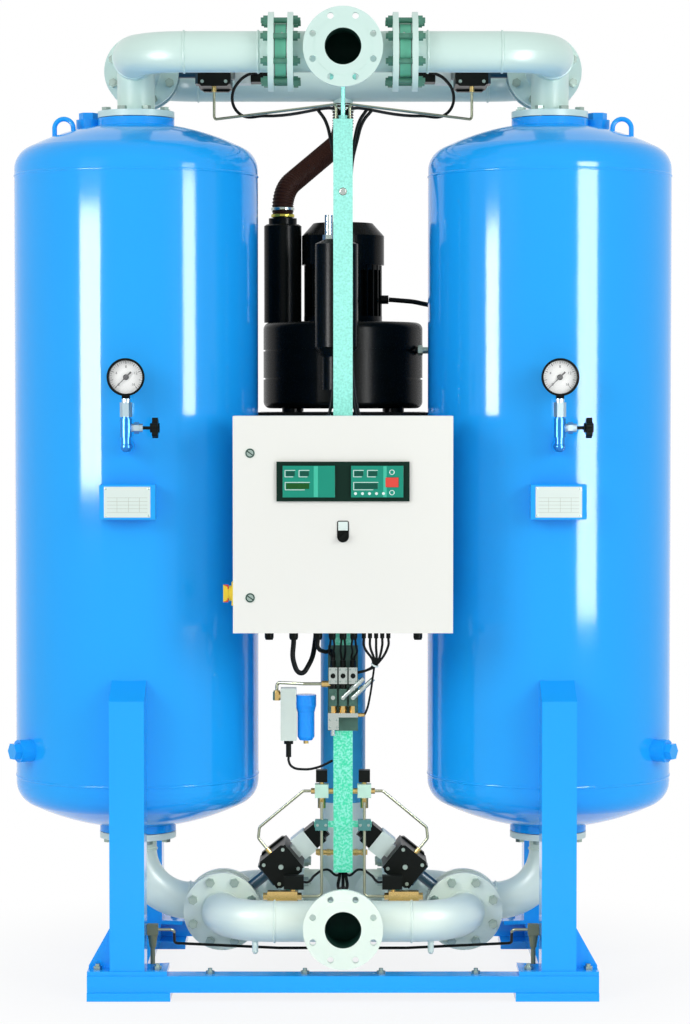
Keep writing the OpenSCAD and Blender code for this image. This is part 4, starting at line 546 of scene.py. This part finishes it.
coil_screws = [(x + off, -0.3180, z) for x in (-0.028, 0.0, 0.028) for off in (-0.008, 0.008) for z in (0.868, 0.901)]
block_screws = [(-0.027 + off, -0.3167, z) for off in (-0.010, 0.010) for z in (0.739, 0.760)]
screws = []
for place in clamp_screws + coil_screws + block_screws:
    head = rod(place, along, 0.0042 if place in clamp_screws else 0.0026, 0.0026, 14)
    round_rim(head, 0.0006)
    screws.append(head)
fit(join(screws), "pilot_screws", plated_steel, "skid")
nipple_y, nipple_z = -0.2252, 0.375
nipple = [rod((-0.004, nipple_y, nipple_z), across, 0.0078, 0.146, 24)]
for x in (-0.066, -0.040, 0.036, 0.058):
    nipple.append(rod((x, nipple_y, nipple_z), across, 0.0105, 0.012, 6))
for part in nipple:
    round_rim(part, 0.0009)
fit(join(nipple), "cross_nipple", turned_brass, "skid")

# Pilot tubes: drawn steel tube bent by hand, pushed into its fittings,
# four lines for the actuators, two down to the pressure valves and two drain lines.
post_top, post_low, post_face = 2.43564, 0.327, -0.287
valve_y, port_y = -0.263, -0.082
stem_mid, port_out = 0.216, 0.0642
low_valve_z = low_z + 0.047


def on_low_actuator(x, y, z):
    """A point of the lower left actuator, from its own axes."""
    return (-low_valve_x + x * math.cos(stem_tilt) + z * math.sin(stem_tilt), y + inlet_valve_y,
            low_z - x * math.sin(stem_tilt) + z * math.cos(stem_tilt))


line_x, line_y, drain_y, drain_z = 0.060, post_face - 0.0162, -0.255, 0.108
tube_routes = [
    [(-0.0902, valve_y, 0.554), (-0.112, valve_y, 0.554),
     on_low_actuator(-port_out - 0.060, port_y, stem_mid + 0.022),
     on_low_actuator(-port_out - 0.038, port_y, stem_mid), on_low_actuator(-port_out, port_y, stem_mid)],
    [(-line_x, line_y, 0.527), (-line_x, line_y, low_valve_z + 0.015),
     (-0.080, -0.302, low_valve_z + 0.015), (-0.1158, -0.302, low_valve_z + 0.015)],
    [(-0.5158, -0.349, 0.177), (-0.471, -0.349, 0.177), (-0.473, -0.300, 0.130),
     (-0.180, drain_y, drain_z), (-0.045, drain_y, drain_z)],
    [(-0.379, 0.194, top_z - port_out), (-0.379, 0.194, post_top + 0.042), (-0.019, -0.266, post_top + 0.042),
     (-0.019, -0.266, post_top)]]
filter_line = [(-0.186, -0.262, 0.8382), (-0.186, -0.262, 0.860), (-0.110, -0.301, 0.860), (-0.0602, -0.301, 0.860)]
tubes = []
for route in tube_routes:
    for side in (1, -1):
        bent = rounded_route([(side * x, y, z) for x, y, z in route], 0.012, 10)
        tubes.append(round_line("tube", bent, 0.004, sides=5))
tubes.append(round_line("tube", rounded_route(filter_line, 0.011, 10), 0.0045, sides=5))
tube_steel = finish("tube_steel", (0.34, 0.36, 0.26), 0.36, grain=900.0, cloud=60.0, tone=0.15, bump=0.04, metal=1.0)
tubes = fit(join(tubes), "bent_tubes", tube_steel, "skid")
tint(tubes, black_moulding, lambda c: c.z < 0.160)
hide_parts("pilot_tubes")

# Cables: black sheathed leads out of the cabinet glands to the valves, the filter,
# the heater and the blower motor, run down the post and tied where they meet.
cable_sheath = finish("cable_sheath", (0.004, 0.006, 0.006), 0.5, bump=0.05, specular=0.12)


def cable(points, radius):
    """A lead that bends easily through its points."""
    curve = thread("lead", radius, 4)
    curve.resolution_u = 10
    spline = curve.splines.new("BEZIER")
    spline.bezier_points.add(len(points) - 1)
    for knot, point in zip(spline.bezier_points, points):
        knot.co = point
        knot.handle_left_type = knot.handle_right_type = "AUTO"
    return made_mesh(curve)


gland_y, cab_z, cab_back = -0.354, 1.018, -0.299
heater_lead = [(-0.137, gland_y, cab_z - 0.030), (-0.137, gland_y, cab_z - 0.092),
               (-0.118, gland_y + 0.012, cab_z - 0.124), (-0.096, gland_y + 0.034, cab_z - 0.104),
               (-0.078, cab_back + 0.026, cab_z - 0.040), (-0.076, cab_back + 0.030, cab_z + 0.05),
               (-0.076, cab_back + 0.030, cab_z + 0.29), (-0.050, -0.10, 1.41), (0.0, 0.070, 1.449),
               (0.0, 0.1253, 1.449)]
manifold_lead = [(-0.070, gland_y, cab_z - 0.030), (-0.070, gland_y, cab_z - 0.050), (-0.050, -0.325, cab_z - 0.066),
                 (-0.030, -0.305, 0.950), (-0.028, -0.304, 0.9263)]
leads = [cable(heater_lead, 0.007), cable(manifold_lead, 0.006)]
for i in range(5):
    gland_x = 0.058 + 0.017 * i
    leads.append(cable([(gland_x, gland_y, cab_z - 0.026), (gland_x, gland_y, cab_z - 0.046),
                        (0.084 + 0.003 * i, gland_y + 0.014, cab_z - 0.098),
                        (0.065 + 0.001 * i, post_face - 0.030 + 0.003 * i, 0.899),
                        (0.0414, post_face - 0.025 + 0.004 * i, 0.892)], 0.0035))
upper_lead = [(-0.012, -0.254, post_top - 0.020), (-0.012, -0.254, post_top + 0.024),
              (-0.030, -0.232, post_top + 0.034), (-0.232, 0.126, post_top + 0.046),
              (-0.306, 0.190, post_top + 0.060), (-0.326, 0.202, post_top + 0.108), (-0.300, 0.206, top_z - 0.026),
              (-0.262, 0.212, top_z - 0.006), (-0.256, 0.2398, top_z - 0.006)]
lower_lead = [(-0.012, -0.253, post_low + 0.020), (-0.012, -0.253, post_low - 0.012),
              (-0.045, -0.260, post_low + 0.004), (-0.080, -0.290, post_low - 0.008),
              (-0.098, -0.302, low_valve_z + 0.055), (-0.1098, -0.302, low_valve_z + 0.055)]
for side in (1, -1):
    for route, radius in ((upper_lead, 0.0045), (lower_lead, 0.0035)):
        leads.append(cable([(side * x, y, z) for x, y, z in route], radius))
motor_lead = [(0.1368, 0.330, 1.953), (0.165, 0.330, 1.951), (0.230, 0.332, 1.943), (0.278, 0.356, 1.925),
              (0.300, 0.400, 1.824), (0.290, 0.420, 1.56), (0.255, 0.380, 1.512), (0.060, 0.060, 1.487),
              (0.070, -0.259, 1.488), (0.070, -0.2986, 1.488)]
filter_lead = [(-0.153, -0.262, 0.650), (-0.153, -0.262, 0.640), (-0.144, -0.262, 0.623), (-0.112, -0.262, 0.615),
               (-0.070, -0.262, 0.621), (-0.0287, -0.262, 0.640)]
leads += [cable(motor_lead, 0.007), cable(filter_lead, 0.0035)]
for x in (-0.030, 0.0, 0.030):
    for off in (-0.004, 0.004):
        leads.append(cable([(x + off, gland_y, cab_z - 0.028), (x + off * 1.5, gland_y + 0.004, cab_z - 0.046),
                            (x * 1.1 + off * 1.6, gland_y + 0.024, cab_z - 0.066),
                            (x * 0.93 + off, -0.307, cab_z - 0.084), (x * 0.93 + off * 0.6, -0.304, 0.9262)], 0.003))
leads.append(cable([(0.088, gland_y + 0.016, 0.918), (0.084, gland_y + 0.020, 0.888), (0.074, -0.318, 0.820),
                    (0.066, -0.305, 0.786), (0.0598, -0.3031, 0.773)], 0.003))
for x, y in ((-0.007, -0.268), (0.006, -0.262), (0.0, -0.254)):
    leads.append(cable([(x, y, post_low + 0.030), (x * 1.4, y, post_low - 0.014),
                        (x * 2.0, y + 0.006, post_low - 0.040), (x * 1.2, y + 0.040, 0.268),
                        (x * 0.6, y + 0.110, 0.262)], 0.0045))
for x, off in ((-0.038, 0.0), (0.036, 0.0), (0.044, 0.010)):
    leads.append(cable([(x * 1.85, -0.161 + off, post_top + 0.036), (x * 1.3, -0.175 + off, post_top + 0.004),
                        (x * 0.9, -0.190 + off, post_top - 0.052), (x * 0.55, -0.210 + off, post_top - 0.130),
                        (x * 0.55, -0.222 + off, 2.0), (x * 0.8, -0.222 + off, 1.66), (x * 1.6, -0.246, 1.520),
                        (x * 1.6, -0.2986, 1.500)], 0.0048))
loom = fit(join(leads), "control_leads", cable_sheath, "skid")
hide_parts("control_cables")
lead_tie = ring((0.0885, gland_y + 0.015, 0.916), (0.35, 0.45, 0.0), 0.0098, 0.0016, 28)
lead_tie.scale = (1.0, 0.72, 1.6)
fit(lead_tie, "lead_tie", pale_moulding, "skid")

# Control cabinet: folded sheet with a textured off-white powder coat, a hung door with
# two key locks, and the gear plate behind it with rails, relays and terminals.
powder_coat = finish("powder_coat", (0.80, 0.805, 0.755), 0.5, grain=520.0, cloud=2.0, tone=0.02, bump=0.12)
dress(powder_coat, "cabinet_box", "cabinet_door")
lock_ring_and_slot_shade = finish("lock_ring_and_slot_shade", (0.010, 0.050, 0.035), 0.4, bump=0.05, specular=0.2)
for name in ("upper_lock", "lower_lock"):
    low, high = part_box(name)
    plug = Vector(((low[0] + high[0]) / 2, low[1], high[2] - 0.013))
    # The walls and floor of each key slot take the dark finish of the ring: painted shade in the keyway.
    tint(nodes[name], lock_ring_and_slot_shade,
         lambda c: plug.y + 0.0006 < c.y < plug.y + 0.0022 and math.hypot(c.x - plug.x, c.z - plug.z) < 0.0098)
    lock_ring = ring(plug, along, 0.0108, 0.0017, 40)
    lock_ring.scale = (1.0, 1.0, 0.35)
    bpy.ops.object.shade_smooth()
    fit(lock_ring, name + "_ring", lock_ring_and_slot_shade, name)
dress(galvanised, "control_gear")
gear_grey = finish("gear_grey", (0.42, 0.43, 0.42), 0.5, bump=0.05)
gear_plate_y = -0.3125


def slab(size, place, edge, steps=2):
    """A plate of this size with rounded edges."""
    lone()
    bpy.ops.mesh.primitive_cube_add(size=1.0, location=place)
    piece = bpy.context.object
    piece.scale = size
    bpy.ops.object.transform_apply()
    round_rim(piece, edge, steps)
    return piece


for material, from_z, to_z in ((gear_grey, 0.0, 1.20), (black_moulding, 1.25, 1.34), (pale_moulding, 1.39, 2.0)):
    tint(nodes["control_gear"], material, lambda c: c.y < gear_plate_y - 0.0085 and from_z < c.z < to_z)

duct_pieces, wires = [], []
wire_r, terminal_z = 0.0013, 1.1724
for duct_z, relay_z in ((1.220, 1.2566), (1.3685, 1.3354)):
    duct_pieces.append(slab((0.430, 0.0030, 0.0290), (0.0, gear_plate_y - 0.0415, duct_z), 0.0010))
    duct_pieces.append(slab((0.430, 0.0020, 0.0290), (0.0, gear_plate_y - 0.0015, duct_z), 0.0006))
    for k in range(30):
        for side in (1, -1):
            duct_pieces.append(slab((0.0092, 0.0390, 0.0016), (-0.2088 + 0.0144 * k, gear_plate_y - 0.0210,
                                                               duct_z + side * 0.0135), 0.0004, 1))
    for k in range(12):
        x = -0.184 + 0.0288 * k
        wires.append(cable([(x, gear_plate_y - 0.0250, duct_z),
                            (x + 0.002, gear_plate_y - 0.0300, (duct_z + relay_z) / 2),
                            (x + 0.003, gear_plate_y - 0.0400, relay_z)], wire_r))
        if duct_z < relay_z:
            wires.append(cable([(x, gear_plate_y - 0.0250, duct_z), (x - 0.002, gear_plate_y - 0.0300, 1.194),
                                (x - 0.003, gear_plate_y - 0.0340, terminal_z)], wire_r))
fit(join(duct_pieces), "wire_ducts", gear_grey, "skid")
wire_blue = finish("wire_blue", (0.012, 0.05, 0.28), 0.45, bump=0.03)
fit(join(wires), "gear_wires", wire_blue, "skid")
seal_y, door_mid_z = -0.4958, 1.314
seal = [slab((0.0070, 0.0232, 0.571), (side * 0.2860, seal_y, door_mid_z), 0.0020) for side in (1, -1)]
seal += [slab((0.572, 0.0232, 0.0070), (0.0, seal_y, door_mid_z + side * 0.2855), 0.0020) for side in (1, -1)]
fit(join(seal), "door_seal", gasket_fibre, "door")

# Display: a dark bezel with two teal membrane panels, each with two small windows,
# one long readout and a pale stripe; the right one has the red key.
bezel_moulding = finish("bezel_moulding", (0.003, 0.022, 0.014), 0.34, bump=0.05, specular=0.10)
membrane_teal = finish("membrane_teal", (0.012, 0.28, 0.19), 0.32, grain=800.0, cloud=12.0, bump=0.03, specular=0.15)
membrane_pale = finish("membrane_pale", (0.06, 0.52, 0.36), 0.32, bump=0.03, specular=0.15)
window_dark = finish("window_dark", (0.006, 0.085, 0.058), 0.12, bump=0.0, specular=0.15)
readout_olive = finish("readout_olive", (0.012, 0.10, 0.018), 0.12, cloud=60.0, tone=0.3, bump=0.0, specular=0.15)
print_white = finish("print_white", (0.74, 0.86, 0.82), 0.4, bump=0.0)
dress(bezel_moulding, "display_panel")
tint(nodes["display_panel"], black_moulding, lambda c: c.z < 1.35)
key_red = finish("key_red", (0.72, 0.05, 0.03), 0.3, bump=0.03)
dress(key_red, "stop_key", "main_switch_handle")
plate_yellow = finish("plate_yellow", (0.88, 0.66, 0.03), 0.35, bump=0.05)
dress(plate_yellow, "main_switch_plate")
tint(nodes["main_switch_handle"], plate_yellow, lambda c: abs(c.z - 1.121) < 0.0125)
dress(black_moulding, "selector_knob", "left_handwheel", "right_handwheel")

face_y = -0.5232
bezel_z, module_x, module_w, module_h = 1.432, 0.093, 0.143, 0.087
key_x, key_off = 0.133, -0.002
frames = ((0.0062, 0.0350, 0.0118, 0.0318), (0.0442, 0.0734, 0.0118, 0.0318), (0.0066, 0.0744, 0.0444, 0.0670))
print_t, print_w = 0.0008, 0.0016
for side, name, stripe_at, stripe_w, glass in ((-1, "left", 0.0907, 0.0115, readout_olive),
                                               (1, "right", 0.0925, 0.009, window_dark)):
    left_edge, top_edge = side * module_x - module_w / 2, bezel_z + module_h / 2
    panel = slab((module_w - 0.001, 0.0010, module_h - 0.001), (side * module_x, face_y - 0.0005, bezel_z), 0.0004)
    if side == 1:
        key_gap = slab((0.0365, 0.02, 0.0275), (key_x, face_y, bezel_z + key_off), 0.001)
        cutter = panel.modifiers.new("key_gap", "BOOLEAN")
        cutter.object = key_gap
        cutter.operation = "DIFFERENCE"
        pick(panel)
        bpy.ops.object.modifier_apply(modifier="key_gap")
        bpy.data.objects.remove(key_gap)
    fit(panel, name + "_membrane", membrane_teal, "door")
    stripe = slab((stripe_w, 0.0006, module_h - 0.003), (left_edge + stripe_at, face_y - 0.0011, bezel_z), 0.0002)
    fit(stripe, name + "_stripe", membrane_pale, "door")
    windows, prints = [], []
    for x0, x1, z0, z1 in frames:
        wide, tall = x1 - x0, z1 - z0
        middle = Vector((left_edge + (x0 + x1) / 2, face_y - 0.0011, top_edge - (z0 + z1) / 2))
        windows.append(slab((wide - 0.005, 0.0008, tall - 0.007), middle + Vector((0.001, 0.0, 0.0)), 0.0003))
        for bar_w, bar_h, bar_x, bar_z in ((wide, print_w, 0.0, tall / 2 - 0.0012),
                                           (wide * 0.8, print_w, -wide * 0.1, 0.0012 - tall / 2),
                                           (print_w, tall - 0.002, 0.0008 - wide / 2, 0.0)):
            prints.append(slab((bar_w, print_t, bar_h), middle + Vector((bar_x, -0.0001, bar_z)), 0.0002))
    fit(windows.pop(), name + "_readout", glass, "door")
    fit(join(windows), name + "_windows", window_dark, "door")
    if side == 1:
        for k in range(5):
            button_x = left_edge + 0.0125 + 0.0190 * k
            button = rod((button_x, face_y - 0.0012, bezel_z - 0.0325), along, 0.0040, 0.0010, 20)
            round_rim(button, 0.0003)
            prints.append(button)
        for z in (0.0255, -0.0300):
            prints.append(ring((key_x, face_y - 0.0012, bezel_z + z), along, 0.0062, 0.0009, 32))
    fit(join(prints), name + "_prints", print_white, "door")

# Display housing: the bezel and the selector's plate in one moulding, with a round lower end
# to the plate, trimmed out of a copy of the solid that it stands for.
pick(nodes["display_panel"])
bpy.ops.object.duplicate()
housing = bpy.context.object
bpy.ops.object.mode_set(mode="EDIT")
bpy.ops.mesh.select_all(action="SELECT")
bpy.ops.mesh.remove_doubles(threshold=0.00001)
bpy.ops.object.mode_set(mode="OBJECT")
selector_z, end_r, plate_top, corner_r = 1.282, 0.016, 1.3250, 0.0045
outline = rod((0.0, -0.46, selector_z), along, end_r, 0.2, 64)
bpy.ops.object.transform_apply()
for corner in outline.data.vertices:
    if corner.co.z > selector_z + 0.0005:
        inward = min(1.0, (end_r + 0.0002 - abs(corner.co.x)) / corner_r)
        corner.co.z = plate_top - corner_r * (1.0 - inward) ** 2
outline = join([outline, slab((0.4, 0.4, 0.3), (0.0, -0.46, 1.49), 0.001)])
trim = housing.modifiers.new("rounded_end", "BOOLEAN")
trim.object = outline
trim.operation = "INTERSECT"
pick(housing)
bpy.ops.object.modifier_apply(modifier="rounded_end")
bpy.data.objects.remove(outline)
fit(housing, "display_housing", bezel_moulding, "door")
tint(housing, black_moulding, lambda c: c.z < 1.35)
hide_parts("display_panel")
insert = slab((0.026, 0.0010, 0.0240), (0.0, -0.5117, 1.3105), 0.0018, 3)
fit(insert, "selector_insert", print_white, "door")

# Gauges: black case, white dial with a generic scale, a counterweighted needle
# and a flat glass, on a chromed cock with a black wheel.
dial_white = finish("dial_white", (0.93, 0.94, 0.92), 0.5, tone=0.02, bump=0.02)
dial_ink = finish("dial_ink", (0.012, 0.012, 0.014), 0.5, bump=0.0)
chrome = finish("chrome", (0.40, 0.52, 0.58), 0.30, grain=600.0, cloud=20.0, tone=0.05, bump=0.02, metal=1.0,
                swing=0.05)
dress(dial_ink, "left_needle", "right_needle")
dress(chrome, "gauge_valves")
cock_blue = finish("cock_blue", (0.008, 0.20, 0.62), 0.22, grain=500.0, cloud=25.0, tone=0.12, bump=0.05, metal=0.35)
tint(nodes["gauge_valves"], cock_blue, lambda c: c.z < 1.6075 and abs(abs(c.x) - tower_x) < 0.016 or c.z < 1.545)
lens_glass = bpy.data.materials.new("lens_glass")
lens_glass.use_nodes = True
lens_shader = lens_glass.node_tree.nodes["Principled BSDF"]
lens_shader.inputs["Base Color"].default_value = (0.95, 0.97, 0.97, 1.0)
lens_shader.inputs["Roughness"].default_value = 0.04
lens_shader.inputs["Alpha"].default_value = 0.04
lens_shader.inputs["Specular IOR Level"].default_value = 0.2
dress(lens_glass, "gauge_lenses")
gauge_y, gauge_z, ink_off = -0.438, 1.716, -0.0008
scale_start, scale_sweep, marks_on_scale, figures = 225.0, 270.0, 32, (0, 4, 8, 12, 16)
for side, name in ((-1, "left"), (1, "right")):
    centre = Vector((side * tower_x, gauge_y + 0.0012, gauge_z))
    dial = rod(centre, along, 0.0455, 0.0014, 72)
    round_rim(dial, 0.0004)
    fit(dial, name + "_dial", dial_white, "skid")
    marks = []
    for k in range(marks_on_scale + 1):
        turn = math.radians(scale_start - scale_sweep * k / marks_on_scale)
        length, width, reach = (0.0080, 0.0013, 0.0400) if k % 4 == 0 else (0.0050, 0.0007, 0.0412)
        tick = slab((length, 0.0005, width), (0.0, 0.0, 0.0), 0.0001, 1)
        tick.rotation_euler = (0.0, -turn, 0.0)
        tick.location = centre + Vector((reach * math.cos(turn), ink_off, reach * math.sin(turn)))
        pick(tick)
        bpy.ops.object.transform_apply()
        marks.append(tick)
    for k, number in enumerate(figures):
        turn = math.radians(scale_start - scale_sweep * k / (len(figures) - 1))
        lone()
        bpy.ops.object.text_add(location=centre + Vector((0.0285 * math.cos(turn), ink_off, 0.0285 * math.sin(turn))),
                                rotation=along)
        figure = bpy.context.object
        figure.data.body = str(number)
        figure.data.size = 0.0105
        figure.data.align_x = "CENTER"
        figure.data.align_y = "CENTER"
        figure.data.extrude = 0.0003
        bpy.ops.object.convert(target="MESH")
        bpy.ops.object.transform_apply()
        marks.append(bpy.context.object)
    fit(join(marks), name + "_dial_marks", dial_ink, "skid")

# Rating plates: white plates with an empty ruled form on them,
# riveted to the bent brackets on the towers.
plate_white = finish("plate_white", (0.68, 0.78, 0.73), 0.36, cloud=12.0, tone=0.03, bump=0.03)
rule_grey = finish("rule_grey", (0.42, 0.46, 0.38), 0.5, bump=0.0)
plate_z, plate_y, rule_y, rule_w = 1.372, -0.405, -0.4065, 0.0008
for side, name in ((-1, "left"), (1, "right")):
    plate_x = side * tower_x
    blank = slab((0.128, 0.0014, 0.085), (plate_x, plate_y - 0.0007, plate_z), 0.0006)
    fit(blank, name + "_rating_plate", plate_white, "skid")
    rules = [slab((0.112, 0.0006, rule_w), (plate_x, rule_y, plate_z + z), 0.0001, 1)
             for z in (0.012, 0.002, -0.008, -0.018, -0.028)]
    rules += [slab((rule_w, 0.0006, 0.040), (plate_x + x, rule_y, plate_z - 0.008), 0.0001, 1)
              for x in (-0.028, 0.004, 0.034)]
    fit(join(rules), name + "_plate_rules", rule_grey, "skid")
    rivets = []
    for x, z in ((-0.059, -0.037), (-0.059, 0.037), (0.059, -0.037), (0.059, 0.037)):
        lone()
        bpy.ops.mesh.primitive_uv_sphere_add(segments=16, ring_count=8, radius=0.0030,
                                             location=(plate_x + x, plate_y - 0.0014, plate_z + z))
        rivet = bpy.context.object
        rivet.scale = (1.0, 0.5, 1.0)
        bpy.ops.object.transform_apply()
        bpy.ops.object.shade_smooth()
        rivets.append(rivet)
    fit(join(rivets), name + "_plate_rivets", plated_steel, "skid")
